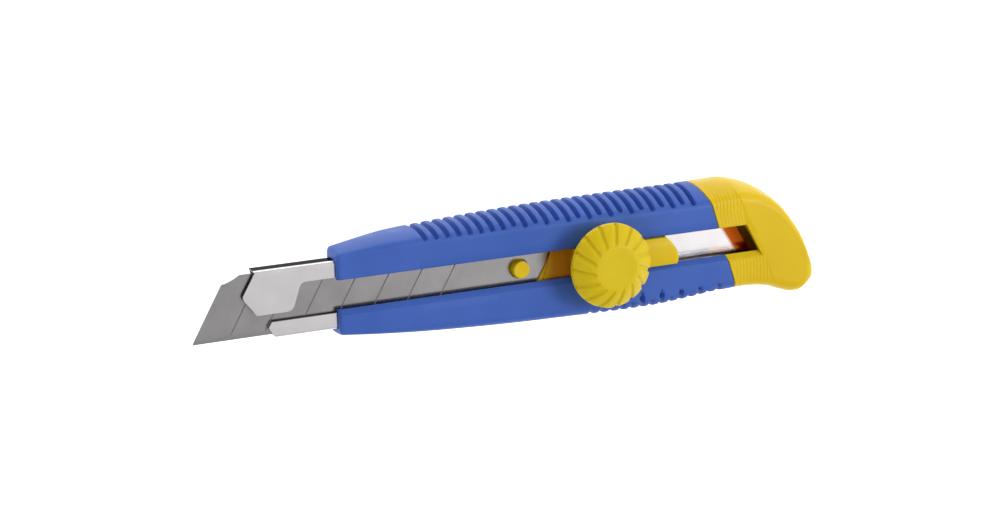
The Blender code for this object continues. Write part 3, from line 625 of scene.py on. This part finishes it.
def rib_dip(rings):
    """Depth of the fine upright ribs on both flanks of the cap."""
    x, y, z = np.moveaxis(rings, -1, 0)
    phase = np.abs(((x - RIB_FIRST_X) / RIB_PITCH) % 1 - 0.5) * 2
    wave = RIB_DEPTH * phase**1.3
    edge_plane = leaning((PARTING_X, PARTING_SLOPE), y)
    inside = ease(0.8, 1.0, x - edge_plane) * ease(0.0, -0.25, x - leaning(SLOT_END_CREASE, y) + 0.2)
    beside = ease(RIB_INNER_Y - 0.1, RIB_INNER_Y + 0.1, np.abs(y))
    front_half = ease(5.5, 9.0, z)
    limits = ease(RIB_TOP_Y + 2.6, RIB_TOP_Y, y) * ease(RIB_BOTTOM_Y - 2.4, RIB_BOTTOM_Y, y)
    return (wave + RIB_GROUND) * inside * beside * front_half * limits


def slot_mouth():
    """The last stretch of the slot: straight walls, a broad chamfer below and a shallow dip at the end."""
    def outline(low_y, high_y, end):
        return [(45, low_y), (leaning(end, low_y), low_y), (leaning(end, high_y), high_y), (45, high_y)]

    chamfer = SLOT_CHAMFER_SHARE * (SLOT_LOW_Y - SLOT_LOW_EDGE_Y)
    share = SLOT_END_DIP / chamfer
    part_way = SLOT_LOW_EDGE_Y * (1 - share) + SLOT_LOW_Y * share
    levels = [
        (POCKET_ROOF_Z - 1.0, outline(SLOT_LOW_Y, SLOT_HIGH_Y, SLOT_END)),
        (FACE_Z - chamfer, outline(SLOT_LOW_Y, SLOT_HIGH_Y, SLOT_END)),
        (FACE_Z - SLOT_END_DIP, outline(part_way, SLOT_HIGH_Y, SLOT_END)),
        (FACE_Z, outline(SLOT_LOW_EDGE_Y, SLOT_HIGH_EDGE_Y, SLOT_END_CREASE)),
        (FACE_Z + 1.0, outline(SLOT_LOW_EDGE_Y, SLOT_HIGH_EDGE_Y, SLOT_END_CREASE)),
    ]
    rings = np.array([[(a, b, z) for a, b in outline_at] for z, outline_at in levels], float)
    return lofted("slot_mouth", rings)


def cap(look):
    """The yellow moulding: rings from the parting edge to the rounded end, then its pockets and plug."""
    edge = PARTING_X + PARTING_GAP / 2
    start = edge + PARTING_ROUND * np.linspace(0, 1, 5)
    tail = CAP_END_X - CAP_TAIL_LENGTH * (1 - np.sin(np.linspace(0, math.pi / 2, 34)))
    before_tail = tail[0] - 0.1
    ribbed = np.arange(edge + 0.3, RIBBED_TO_X, RIBBED_STEP)
    u = np.concatenate([start, ribbed, np.arange(RIBBED_TO_X + 0.1, before_tail, CAP_STEP), tail])
    x_table = np.unique(np.concatenate([np.arange(44, before_tail, 0.4), tail]))
    lean = PARTING_SLOPE * np.clip((CAP_LEAN_TO_X - u) / (CAP_LEAN_TO_X - edge), 0, 1)
    rings = placed(cap_sections, x_table, u, lean)
    normals = outward_normals(rings)
    to_parting = rings[..., 0] - leaning((edge, PARTING_SLOPE), rings[..., 1])
    sink(rings, normals, np.maximum(rib_dip(rings), rounding(PARTING_ROUND, to_parting)))
    body = to_piece(lofted("cap", rings), look)
    half = HOLLOW_HALF - GAP
    low, high = HOLLOW_Z[0] + GAP, HOLLOW_Z[1] - GAP
    plug = slanted_box("plug", (PARTING_X - PLUG_LENGTH, 0), (PARTING_X + 8, 0), (-half, half), low, high)
    ridges = []
    for way in (1, -1):
        flank = half * way
        ridge = [(PARTING_X - 10, flank - way), (PARTING_X - 7, flank - way),
                 (PARTING_X - 8.5, flank + way * LATCH_BUMP)]
        ridges.append(prism("latch", ridge, low + 1.2, high - 1.2))
    end_x, slope = CHANNEL_END
    sides = (-POCKET_HALF, POCKET_HALF)
    pocket = slanted_box("pocket", (30, 0), (end_x + 3, slope), sides, POCKET_FLOOR_Z, POCKET_ROOF_Z)
    sides = (-WELL_HALF, WELL_HALF)
    near, far = (end_x - 1.5, slope), (end_x + WELL_LENGTH, slope)
    well = slanted_box("well", near, far, sides, WELL_FLOOR_Z, POCKET_FLOOR_Z + 1)
    carve(body, cutters=[pocket, well, slot_mouth()], additions=[plug, *ridges])
    dress(body, "cap", "end_cap", sharp_deg=38)


# ---------- steel ----------

def channel(look):
    """A sheet bent into a channel, with two lips turned in over the blade and the wide hook at its nose."""
    inner = CHANNEL_HALF - CHANNEL_WALL
    floor = CHANNEL_BACK_Z + CHANNEL_WALL
    lip = CHANNEL_FRONT_Z - CHANNEL_WALL
    tight = BEND - CHANNEL_WALL

    def bend(y, z, radius):
        return fillet((y, z), (0, z), (y, 12.0), radius, 6)

    outer = bend(CHANNEL_HALF, CHANNEL_BACK_Z, BEND) + bend(CHANNEL_HALF, CHANNEL_FRONT_Z, BEND)[::-1]
    inside = [(LIP_HALF_GAP, CHANNEL_FRONT_Z), (LIP_HALF_GAP, lip)]
    inside += bend(inner, lip, tight) + bend(inner, floor, tight)[::-1]
    right = outer + inside
    under = [(y, CHANNEL_BACK_Z) for y in np.arange(-8.5, 8.6, 0.5)]
    over = [(y, floor) for y in np.arange(8.5, -8.6, -0.5)]
    left = [(-y, z) for y, z in right[::-1]]
    outline = np.array(under + right + over + left, float)
    y, z = outline.T
    on_floor = z < floor + 0.01
    dish = FLOOR_DISH * np.clip((DISH_START_Y - y) / DISH_WIDTH, 0, 1) ** 2 * ease(*DISH_END_Y, y) * on_floor
    straight = CHANNEL_END[0] - REAR_LEAN_LENGTH
    stations = [CHANNEL_NOSE_X - 2, *np.linspace(straight, CHANNEL_END[0], 31)]
    rings = []
    for u in stations:
        lean = CHANNEL_END[1] * max(0.0, (u - straight) / REAR_LEAN_LENGTH)
        lift = REAR_LIFT * max(0.0, 1 - (CHANNEL_END[0] - u) / REAR_LIFT_LENGTH) ** 2 * on_floor
        rings.append(np.column_stack([u + lean * y, y, z + np.maximum(dish, lift)]))
    sheet = to_piece(lofted("channel", np.stack(rings)), look)
    lean = (LOWER_NOSE_X - CHANNEL_NOSE_X) / (2 * CHANNEL_HALF)
    trim = [(-120, 15), (CHANNEL_NOSE_X - 5.2 * lean, 15), (CHANNEL_NOSE_X, CHANNEL_HALF),
            (-87.7, -LIP_HALF_GAP), (-88.7, -6.7), (LOWER_NOSE_X, -CHANNEL_HALF),
            (LOWER_NOSE_X, -15), (-120, -15)]
    corner = (HOOK_REAR[0] + 0.4, LIP_HALF_GAP)
    hook = [(CHANNEL_NOSE_X, CHANNEL_HALF - BEND)]
    hook += fillet(HOOK_BLADE_END, (CHANNEL_NOSE_X, CHANNEL_HALF), HOOK_BOTTOM_LEFT, 1.6, 8)
    hook += fillet(HOOK_BOTTOM_LEFT, HOOK_BLADE_END, HOOK_BOTTOM_RIGHT, 0.8, 6)
    hook += fillet(HOOK_BOTTOM_RIGHT, HOOK_BOTTOM_LEFT, HOOK_REAR, 2.2, 8)
    hook += fillet(corner, HOOK_REAR, (HOOK_FILLET_END_X + 3, LIP_HALF_GAP), 2.0, 8)
    hook += [(HOOK_FILLET_END_X + 2.5, LIP_HALF_GAP), (HOOK_FILLET_END_X + 2.5, CHANNEL_HALF - BEND)]
    sides = (-TAB_HALF, TAB_HALF)
    tab = slanted_box("tab", (-TAB_LENGTH, 0), (0, 0), sides, CHANNEL_BACK_Z - 0.5, CHANNEL_BACK_Z + 0.2)
    carve(sheet, cutters=[prism("trim", trim, 0, 30)])
    carve(sheet, additions=[prism("hook", hook, lip, CHANNEL_FRONT_Z), tab])
    dress(sheet, "handle", "blade_channel", edge=0.07)


def blade_x(start, y):
    """X at y of a line across the blade at its edge angle, from start on the cutting edge."""
    return start + (y + BLADE_HALF) / math.tan(BLADE_ANGLE)


def score_cutter(start):
    """A shallow V across the blade that fades out above the ground edge."""
    top = BLADE_BACK_Z + BLADE_THICKNESS
    rings = []
    band = -BLADE_HALF + EDGE_BAND
    for y, depth in ((band - 0.3, 0.004), (band + 1.2, SCORE_DEPTH), (BLADE_HALF + 1, SCORE_DEPTH)):
        x = blade_x(start, y)
        over = top + SCORE_LIFT
        rings.append([(x, y, top - depth), (x + SCORE_HALF, y, over), (x - SCORE_HALF, y, over)])
    return lofted("score", np.array(rings, float))


def blade(look):
    """The snap-off strip: bevelled edge, nipped front corner, score lines and the hole in its tail."""
    middle = BLADE_BACK_Z + BLADE_THICKNESS / 2
    flat_low = -BLADE_HALF + EDGE_BAND
    nip_y = BLADE_HALF - NIP_HEIGHT
    rows = [(-BLADE_HALF, EDGE_THICKNESS, 0.0)]
    rows += [(y, BLADE_THICKNESS, 0.0) for y in (flat_low, nip_y)]
    for share in np.linspace(0, 1, 13)[1:]:
        rows.append((nip_y + NIP_HEIGHT * share, BLADE_THICKNESS, NIP_LENGTH * share**0.55))
    rings = []
    for y, thickness, nip in rows:
        front = blade_x(BLADE_TIP_X, y) + nip
        tail = blade_x(BLADE_TIP_X + BLADE_LENGTH, y)
        low, high = middle - thickness / 2, middle + thickness / 2
        rings.append([(front, y, low), (tail, y, low), (tail, y, high), (front, y, high)])
    strip = to_piece(lofted("blade_strip", np.array(rings, float)), look)
    scores = [score_cutter(BLADE_TIP_X + i * SEGMENT) for i in range(1, SEGMENTS)]
    hole = prism("hole", circle(HOLE_RADIUS, 64, (PIN_X, 0)), 0, 30)
    carve(strip, cutters=[*scores, hole])
    dress(strip, "carrier", "blade", sharp_deg=8)


# ---------- carrier ----------

def tongue():
    """The arched thumb rest behind the wheel, with a soft ramp in front and a slanted, rounded end."""
    rings = []
    steps = np.linspace(0, 1, 12)
    front = [(TONGUE_FRONT_X + TONGUE_RAMP * t, 0.0, 0.1 + 0.9 * math.sin(t * math.pi / 2)) for t in steps]
    body = [(x, t, 1.0) for t, x in zip(steps, np.linspace(26, CARRIER_END[0] - TONGUE_END_ROUND, 12))]
    rear = [(CARRIER_END[0] - TONGUE_END_ROUND * (1 - math.sin(t)), 1.0, 0.6 + 0.4 * math.cos(t))
            for t in np.linspace(0.1, math.pi / 2, 8)]
    across = np.linspace(-1, 1, 41)
    y = sum(RISER_Y) / 2 + (RISER_Y[1] - RISER_Y[0]) / 2 * across
    plan = CARRIER_END[1] * y + TONGUE_END_BULGE * (1 - across**2) - TONGUE_END_BULGE * 0.5
    low = RISER_TOP_Z - 0.8
    for x, share, rise in front + body + rear:
        z = RISER_TOP_Z + 0.1 + TONGUE_HEIGHT * rise * (1 - TONGUE_ARCH * np.abs(across) ** 3)
        top = zip(x + plan * share, y, z)
        rings.append([(x + plan[0] * share, y[0], low), *top, (x + plan[-1] * share, y[-1], low)])
    return lofted("tongue", np.array(rings, float))


def pin():
    """The round pin that holds the blade, with a soft edge and a shallow sink mark."""
    turn = np.linspace(0, math.pi / 2, 6)
    profile = [(PIN_RADIUS, CARRIER_BASE_TOP_Z - 0.5)]
    rim_radius, rim_z = PIN_RADIUS - PIN_ROUND, PIN_TOP_Z - PIN_ROUND
    profile += [(rim_radius + PIN_ROUND * math.cos(t), rim_z + PIN_ROUND * math.sin(t)) for t in turn]
    profile += [(1.8, PIN_TOP_Z - 0.01), (0.9, PIN_TOP_Z - 0.04), (0.05, PIN_TOP_Z - 0.05)]
    rings = [[(x, y, z) for x, y in circle(radius, 72, (PIN_X, 0))] for radius, z in profile]
    return lofted("pin", np.array(rings, float))


def carrier(look):
    """The yellow slide: base, block behind the blade, shelf, riser, tongue and pin, with the bolt's bore."""
    sides = (-CARRIER_HALF, CARRIER_HALF)
    front = (CARRIER_FRONT_X, 0.0)
    top_z = CARRIER_BASE_TOP_Z
    base = slanted_box("carrier", front, CARRIER_END, sides, CARRIER_BASE_Z, top_z)
    body = to_piece(base, look)
    tail = BLADE_TIP_X + BLADE_LENGTH + TAIL_GAP
    behind_blade = (blade_x(tail, 0), 1 / math.tan(BLADE_ANGLE))
    block = slanted_box("block", behind_blade, CARRIER_END, sides, top_z - 0.5, CARRIER_BLOCK_TOP_Z)
    end = (CARRIER_END[0] - 0.4, CARRIER_END[1])
    step = (RISER_STEP_X, 0)
    shelf = slanted_box("shelf", RISER_FRONT, end, RISER_Y, CARRIER_BLOCK_TOP_Z - 0.01, RISER_LOW_Z)
    riser = slanted_box("riser", step, end, RISER_Y, CARRIER_BLOCK_TOP_Z - 0.5, RISER_TOP_Z)
    carve(body, additions=[block, shelf, riser, tongue(), pin()])
    bore = prism("bore", circle(BOLT_RADIUS + GAP, 48, (WHEEL_X, WHEEL_Y)), 0, 30)
    head_top = CARRIER_BASE_Z + BOLT_HEAD_SINK + BOLT_HEAD_HEIGHT + GAP
    head = prism("head", hexagon(BOLT_HEAD_FLATS + 2 * GAP), 0, head_top)
    carve(body, cutters=[bore, head])
    dress(body, "carrier", "blade_carrier", sharp_deg=30, edge=0.12)


# ---------- wheel ----------

def wheel_profile():
    """(radius, z) points from the hub's middle, over the dome and rim, to the boss and its pocket."""
    share = np.linspace(0.0, 1.0, 40)
    radius = HUB_RADIUS + (WHEEL_RADIUS - HUB_RADIUS) * share
    dome = WHEEL_TOP_Z + (RIM_HIGH_Z - WHEEL_TOP_Z) * share**1.35 + 0.15 * np.sin(np.pi * share)
    hub = [(r, WHEEL_TOP_Z - sunk) for r, sunk in ((0.02, 0.12), (2.5, 0.1), (4.6, 0.03), (5.6, 0.0))]
    crown = [(r, z) for r, z in zip(radius, dome) if HUB_RADIUS + 0.15 < r < WHEEL_RADIUS - 0.55]
    turn = np.linspace(math.radians(50), 0, 6)
    centre = WHEEL_RADIUS - RIM_ROUND
    rim = [(centre + RIM_ROUND * math.cos(t), RIM_HIGH_Z - 0.25 + RIM_ROUND * math.sin(t)) for t in turn]
    rim += [(WHEEL_RADIUS, z) for z in (23.2, 23.0, 22.9, 22.8, 22.7, 22.6)]
    turn = np.linspace(0, -math.pi / 2, 5)
    centre, round_z = WHEEL_RADIUS - RIM_LOW_ROUND, RIM_LOW_Z + RIM_LOW_ROUND
    rim += [(centre + RIM_LOW_ROUND * math.cos(t), round_z + RIM_LOW_ROUND * math.sin(t)) for t in turn]
    boss = [(11.6, RIM_LOW_Z - 0.25), (10.6, 20.6), (9.9, 19.0), (BOSS_RADIUS, BOSS_TOP_Z)]
    boss += [(BOSS_RADIUS, WHEEL_BOTTOM_Z + 0.2), (BOSS_RADIUS - 0.2, WHEEL_BOTTOM_Z)]
    boss += [(WASHER_POCKET[0], WHEEL_BOTTOM_Z)]
    bore = BOLT_RADIUS + GAP + 0.2
    inside = [WASHER_POCKET, (bore, WASHER_POCKET[1]), (bore, 24.5), (0.02, 24.5)]
    return np.array(hub + crown + rim + boss + inside, float)


def wheel(look):
    """The knob: the profile turned round its axis, with curved flutes and soft lobes between them."""
    profile = wheel_profile()
    turn = 2 * np.pi * np.arange(WHEEL_STEPS) / WHEEL_STEPS
    run = np.gradient(profile, axis=0)
    normal = unit(np.column_stack([-run[:, 1], run[:, 0]]))
    radius, z = profile[:, :1], profile[:, 1:]
    share = np.clip((radius - HUB_RADIUS) / (WHEEL_RADIUS - HUB_RADIUS), 0, 1)
    pitch = 2 * np.pi / FLUTES
    centre = FLUTE_SWIRL * share**0.75
    offset = (turn[None] - centre + pitch / 2) % pitch - pitch / 2
    across = offset * radius
    before = np.maximum(0.0, HUB_RADIUS + 0.3 + FLUTE_HALF - radius)
    below = np.maximum(0.0, FLUTE_LOW_Z + 0.25 - z)
    distance = np.sqrt(across**2 + before**2 + below**2) / FLUTE_HALF
    depth = FLUTE_DEPTH[0] + (FLUTE_DEPTH[1] - FLUTE_DEPTH[0]) * share
    dip = depth * np.clip(1 - distance**2, 0, 1) ** 0.6
    fade = ease(HUB_RADIUS + 0.1, HUB_RADIUS + 1.6, radius) * ease(FLUTE_LOW_Z - 0.1, FLUTE_LOW_Z + 0.3, z)
    lobe = (1 - np.abs(offset) / (pitch / 2)) ** 2 * FLUTE_LOBE * fade
    outside = np.arange(len(profile))[:, None] < len(profile) - WHEEL_INSIDE_POINTS
    dip = np.where((z > FLUTE_LOW_Z - 0.2) & outside, dip + lobe, 0.0)
    sign = np.where(normal[:, 1:] + normal[:, :1] * 0.5 > 0, 1.0, -1.0)
    r = radius - dip * normal[:, :1] * sign
    height = z - dip * normal[:, 1:] * sign
    rings = np.stack([
        WHEEL_X + r * np.cos(turn)[None], WHEEL_Y + r * np.sin(turn)[None], np.broadcast_to(height, r.shape)
    ], -1)
    knob = to_piece(lofted("knob", rings), look)
    pocket = prism("nut_pocket", hexagon(NUT_FLATS + GAP), WASHER_POCKET[1] - 0.5, NUT_POCKET_TOP_Z)
    carve(knob, cutters=[pocket])
    dress(knob, "wheel", "lock_wheel", sharp_deg=50)


# ---------- materials ----------

def new_look(name, metallic=0.0, specular=0.5):
    """A new material and its shader."""
    look = bpy.data.materials.new(name)
    look.use_nodes = True
    shader = look.node_tree.nodes["Principled BSDF"]
    shader.inputs["Metallic"].default_value = metallic
    shader.inputs["Specular IOR Level"].default_value = specular
    return look, shader


def noise(look, size_mm, detail=3.0, stretch=(1, 1, 1)):
    """A noise value fixed to the piece, with features of about size_mm. A stretch below 1 lengthens them."""
    nodes, links = look.node_tree.nodes, look.node_tree.links
    place = nodes.new("ShaderNodeTexCoord")
    mapping = nodes.new("ShaderNodeMapping")
    mapping.inputs["Scale"].default_value = stretch
    texture = nodes.new("ShaderNodeTexNoise")
    texture.inputs["Scale"].default_value = 1000.0 / size_mm
    texture.inputs["Detail"].default_value = detail
    links.new(place.outputs["Object"], mapping.inputs["Vector"])
    links.new(mapping.outputs["Vector"], texture.inputs["Vector"])
    return texture.outputs["Fac"]


def spread(look, value, low, high, socket):
    """Feeds a noise value to a shader socket, as a number between low and high."""
    nodes, links = look.node_tree.nodes, look.node_tree.links
    scale = nodes.new("ShaderNodeMapRange")
    scale.inputs["From Min"].default_value = 0.3
    scale.inputs["From Max"].default_value = 0.7
    scale.inputs["To Min"].default_value = low
    scale.inputs["To Max"].default_value = high
    links.new(value, scale.inputs["Value"])
    links.new(scale.outputs["Result"], socket)


def tint(look, value, dark, light, socket):
    """Feeds a noise value to a colour socket, as a blend from dark to light."""
    nodes, links = look.node_tree.nodes, look.node_tree.links
    ramp = nodes.new("ShaderNodeValToRGB")
    ramp.color_ramp.elements[0].position = 0.3
    ramp.color_ramp.elements[0].color = (*dark, 1)
    ramp.color_ramp.elements[1].position = 0.7
    ramp.color_ramp.elements[1].color = (*light, 1)
    links.new(value, ramp.inputs["Fac"])
    links.new(ramp.outputs["Color"], socket)


def relief(look, shader, layers):
    """Chains bump layers of (value, depth in mm) into the shader's normal."""
    nodes, links = look.node_tree.nodes, look.node_tree.links
    previous = None
    for value, depth in layers:
        bump = nodes.new("ShaderNodeBump")
        bump.inputs["Strength"].default_value = 1.0
        bump.inputs["Distance"].default_value = depth * MM
        links.new(value, bump.inputs["Height"])
        if previous:
            links.new(previous, bump.inputs["Normal"])
        previous = bump.outputs["Normal"]
    links.new(previous, shader.inputs["Normal"])


def moulded(name, dark, light, rough, specular, glow):
    """Moulded plastic: a slow drift of colour, patches of gloss, a fine grain and some light within."""
    look, shader = new_look(name, specular=specular)
    tint(look, noise(look, 18, 2), dark, light, shader.inputs["Base Color"])
    spread(look, noise(look, 6, 4), rough[0], rough[1], shader.inputs["Roughness"])
    relief(look, shader, [(noise(look, 9, 2), 0.03), (noise(look, 0.35, 4), 0.006)])
    shader.inputs["Subsurface Weight"].default_value = glow
    shader.inputs["Subsurface Scale"].default_value = GLOW_DEPTH * MM
    shader.inputs["Subsurface Radius"].default_value = GLOW_SPREAD
    return look


def step_along(look, axis, low, high, mirrored=False):
    """A value that goes from 0 at low to 1 at high, in millimetres along an axis of the piece."""
    nodes, links = look.node_tree.nodes, look.node_tree.links
    place = nodes.new("ShaderNodeTexCoord")
    along = nodes.new("ShaderNodeVectorMath")
    along.operation = "DOT_PRODUCT"
    along.inputs[1].default_value = axis
    links.new(place.outputs["Object"], along.inputs[0])
    value = along.outputs["Value"]
    if mirrored:
        size = nodes.new("ShaderNodeMath")
        size.operation = "ABSOLUTE"
        links.new(value, size.inputs[0])
        value = size.outputs["Value"]
    scale = nodes.new("ShaderNodeMapRange")
    scale.inputs["From Min"].default_value = low * MM
    scale.inputs["From Max"].default_value = high * MM
    links.new(value, scale.inputs["Value"])
    return scale.outputs["Result"]


def patch(look, colour, steps):
    """Lays a colour over the base colour where every step is 1."""
    nodes, links = look.node_tree.nodes, look.node_tree.links
    base = nodes["Principled BSDF"].inputs["Base Color"]
    under = base.links[0].from_socket
    share = steps[0]
    for step in steps[1:]:
        product = nodes.new("ShaderNodeMath")
        product.operation = "MULTIPLY"
        links.new(share, product.inputs[0])
        links.new(step, product.inputs[1])
        share = product.outputs["Value"]
    blend = nodes.new("ShaderNodeMixRGB")
    blend.inputs["Color2"].default_value = (*colour, 1)
    links.new(share, blend.inputs["Fac"])
    links.new(under, blend.inputs["Color1"])
    links.new(blend.outputs["Color"], base)


def brushed(name, dark, light, rough, stretch, line_mm=0.12, depth=0.004, waviness=0.0):
    """Rolled or ground steel: fine lines along one direction, over soft patches and slow waves."""
    look, shader = new_look(name, metallic=1.0)
    shader.inputs["Specular Tint"].default_value = STEEL_EDGE_TINT
    lines = noise(look, line_mm, 2, stretch)
    tint(look, noise(look, 7, 3), dark, light, shader.inputs["Base Color"])
    spread(look, lines, rough[0], rough[1], shader.inputs["Roughness"])
    layers = [(lines, depth)]
    if waviness:
        layers.append((noise(look, 12, 2, (0.5, 1, 1)), waviness))
    relief(look, shader, layers)
    return look


def cap_yellow():
    dark, light = (0.64, 0.435, 0.003), (0.69, 0.475, 0.004)
    return moulded("yellow_moulding", dark, light, rough=(0.32, 0.42), specular=0.2, glow=0.28)


def knob_yellow():
    dark, light = (0.61, 0.46, 0.003), (0.66, 0.50, 0.004)
    return moulded("knob_moulding", dark, light, rough=(0.42, 0.52), specular=0.2, glow=0.3)


def slide_yellow():
    """The carrier's yellow, with painted brown shade of the wheel's shadow on its shelf behind the blade's
    tail.
    """
    dark, light = (0.64, 0.445, 0.003), (0.69, 0.485, 0.004)
    look = moulded("slide_moulding", dark, light, rough=(0.36, 0.46), specular=0.2, glow=0.3)
    # painted shade: brown where the wheel's shadow falls on the shelf between blade tail and riser
    patch(look, PAINTED_WHEEL_SHADE, [
        step_along(look, (1, 0, 0), RISER_FRONT[0] - 4, RISER_FRONT[0] + 2),
        step_along(look, (-1, 0, 0), -RISER_STEP_X - 2, -RISER_STEP_X),
    ])
    return look


def grip_blue():
    dark, light = (0.036, 0.098, 0.40), (0.044, 0.112, 0.44)
    return moulded("blue_moulding", dark, light, rough=(0.42, 0.52), specular=0.22, glow=0.02)


def bright_sheet():
    """Bright rolled sheet with painted reflections: dark on its outer flanks, orange at its rear end."""
    dark, light = (0.78, 0.75, 0.76), (0.84, 0.81, 0.82)
    look = brushed("bright_sheet", dark, light, rough=(0.14, 0.24), stretch=(0.02, 1, 1),
                   line_mm=0.15, depth=0.001, waviness=0.03)
    bend_z = CHANNEL_FRONT_Z - BEND - 0.1
    # painted dark reflection on the outer flanks below the bend
    patch(look, PAINTED_DARK_REFLECTION, [
        step_along(look, (0, 1, 0), CHANNEL_HALF - 0.25, CHANNEL_HALF - 0.1, mirrored=True),
        step_along(look, (0, 0, -1), -bend_z, 0.2 - bend_z),
    ])
    # painted orange reflection of the cap's inside on the floor's last few millimetres
    patch(look, PAINTED_ORANGE_REFLECTION, [
        step_along(look, (1, -CHANNEL_END[1], 0), CHANNEL_END[0] - 5.4, CHANNEL_END[0] - 4.2),
        step_along(look, (0, 0, -1), -CHANNEL_BACK_Z - 1.2, -CHANNEL_BACK_Z - 1.0),
    ])
    return look


def ground_strip():
    dark, light = (0.36, 0.345, 0.35), (0.41, 0.395, 0.40)
    return brushed("ground_strip", dark, light, rough=(0.18, 0.26), stretch=(1, 0.03, 1),
                   line_mm=0.1, depth=0.0012)


def zinc_plate():
    dark, light = (0.55, 0.56, 0.58), (0.70, 0.70, 0.70)
    return brushed("zinc_plate", dark, light, rough=(0.22, 0.38), stretch=(1, 1, 1),
                   line_mm=0.25, depth=0.003)


def spring_strip():
    dark, light = (0.22, 0.20, 0.18), (0.34, 0.31, 0.28)
    return brushed("spring_strip", dark, light, rough=(0.28, 0.42), stretch=(0.1, 1, 1))


# ---------- stage ----------

def softbox(name, towards, size, power, colour=(1, 1, 1)):
    """A rectangular lamp in the direction towards, turned to the knife."""
    light = bpy.data.lights.new(name, "AREA")
    light.shape = "RECTANGLE"
    light.size, light.size_y = size
    light.energy = power
    light.color = colour
    lamp = bpy.data.objects.new(name, light)
    bpy.context.scene.collection.objects.link(lamp)
    lamp.location = Vector(towards).normalized() * LAMP_DISTANCE
    lamp.rotation_mode = "QUATERNION"
    lamp.rotation_quaternion = Vector(towards).to_track_quat("Z", "Y")


def studio():
    """A grey sky that is brighter to one side, and three soft lamps."""
    world = bpy.data.worlds.new("studio")
    bpy.context.scene.world = world
    world.use_nodes = True
    nodes, links = world.node_tree.nodes, world.node_tree.links
    direction = nodes.new("ShaderNodeTexCoord")
    along = nodes.new("ShaderNodeVectorMath")
    along.operation = "DOT_PRODUCT"
    along.inputs[1].default_value = SKY_TOWARDS
    ramp = nodes.new("ShaderNodeValToRGB")
    span = nodes.new("ShaderNodeMapRange")
    span.inputs["From Min"].default_value = -1.0
    links.new(direction.outputs["Generated"], along.inputs[0])
    links.new(along.outputs["Value"], span.inputs["Value"])
    links.new(span.outputs["Result"], ramp.inputs["Fac"])
    stops = ramp.color_ramp.elements
    for stop, (at, level) in ((stops[0], SKY_LEVELS[0]), (stops[1], SKY_LEVELS[-1])):
        stop.position = at
        stop.color = (level, level, level, 1)
    for at, level in SKY_LEVELS[1:-1]:
        stops.new(at).color = (level, level, level, 1)
    background = nodes["Background"]
    links.new(ramp.outputs["Color"], background.inputs["Color"])
    background.inputs["Strength"].default_value = SKY_STRENGTH
    softbox("key", towards=(0.58, 0.14, 0.80), size=(0.42, 0.42), power=4.75, colour=(1.0, 0.99, 0.98))
    softbox("fill", towards=(0.05, 0.90, 0.45), size=(1.0, 0.5), power=0.4)
    softbox("side", towards=(-0.75, -0.10, 0.60), size=(0.7, 0.7), power=2.2)


def floor():
    """A white paper sheet just under the knife."""
    look, shader = new_look("paper", specular=0.1)
    tint(look, noise(look, 60, 2), (0.84, 0.84, 0.84), (0.86, 0.86, 0.86), shader.inputs["Base Color"])
    shader.inputs["Roughness"].default_value = 0.8
    shader.inputs["Emission Color"].default_value = (1, 1, 1, 1)
    shader.inputs["Emission Strength"].default_value = 0.85
    around = ((-1, -1), (1, -1), (1, 1), (-1, 1))
    corners = [(x * FLOOR_HALF, y * FLOOR_HALF, FLOOR_Z) for x, y in around]
    mesh = mesh_of("floor", corners, [(0, 1, 2, 3)])
    mesh.materials.append(look)
    sheet = bpy.data.objects.new("floor", mesh)
    bpy.context.scene.collection.objects.link(sheet)


def camera():
    """The photo's camera, placed from the blade's width, its edge angle and its score lines."""
    data = bpy.data.cameras.new("camera")
    data.sensor_width = 36
    data.lens = CAMERA_LENS
    data.clip_start = 0.01
    viewer = bpy.data.objects.new("camera", data)
    bpy.context.scene.collection.objects.link(viewer)
    viewer.location = CAMERA_PLACE
    viewer.rotation_euler = [math.radians(turn) for turn in CAMERA_TURN]
    bpy.context.scene.camera = viewer


def paint_nodes():
    """New materials for the four CAD nodes that stay."""
    looks = dict.fromkeys(("clamp_bolt", "wheel_nut", "thrust_washer"), zinc_plate())
    looks["spring_washer"] = spring_strip()
    for node, look in looks.items():
        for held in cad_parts[node].material_slots:
            held.material = look


def main():
    grip(grip_blue())
    cap(cap_yellow())
    channel(bright_sheet())
    blade(ground_strip())
    carrier(slide_yellow())
    wheel(knob_yellow())
    paint_nodes()
    studio()
    floor()
    camera()
    bpy.context.scene.view_settings.view_transform = "Standard"


main()
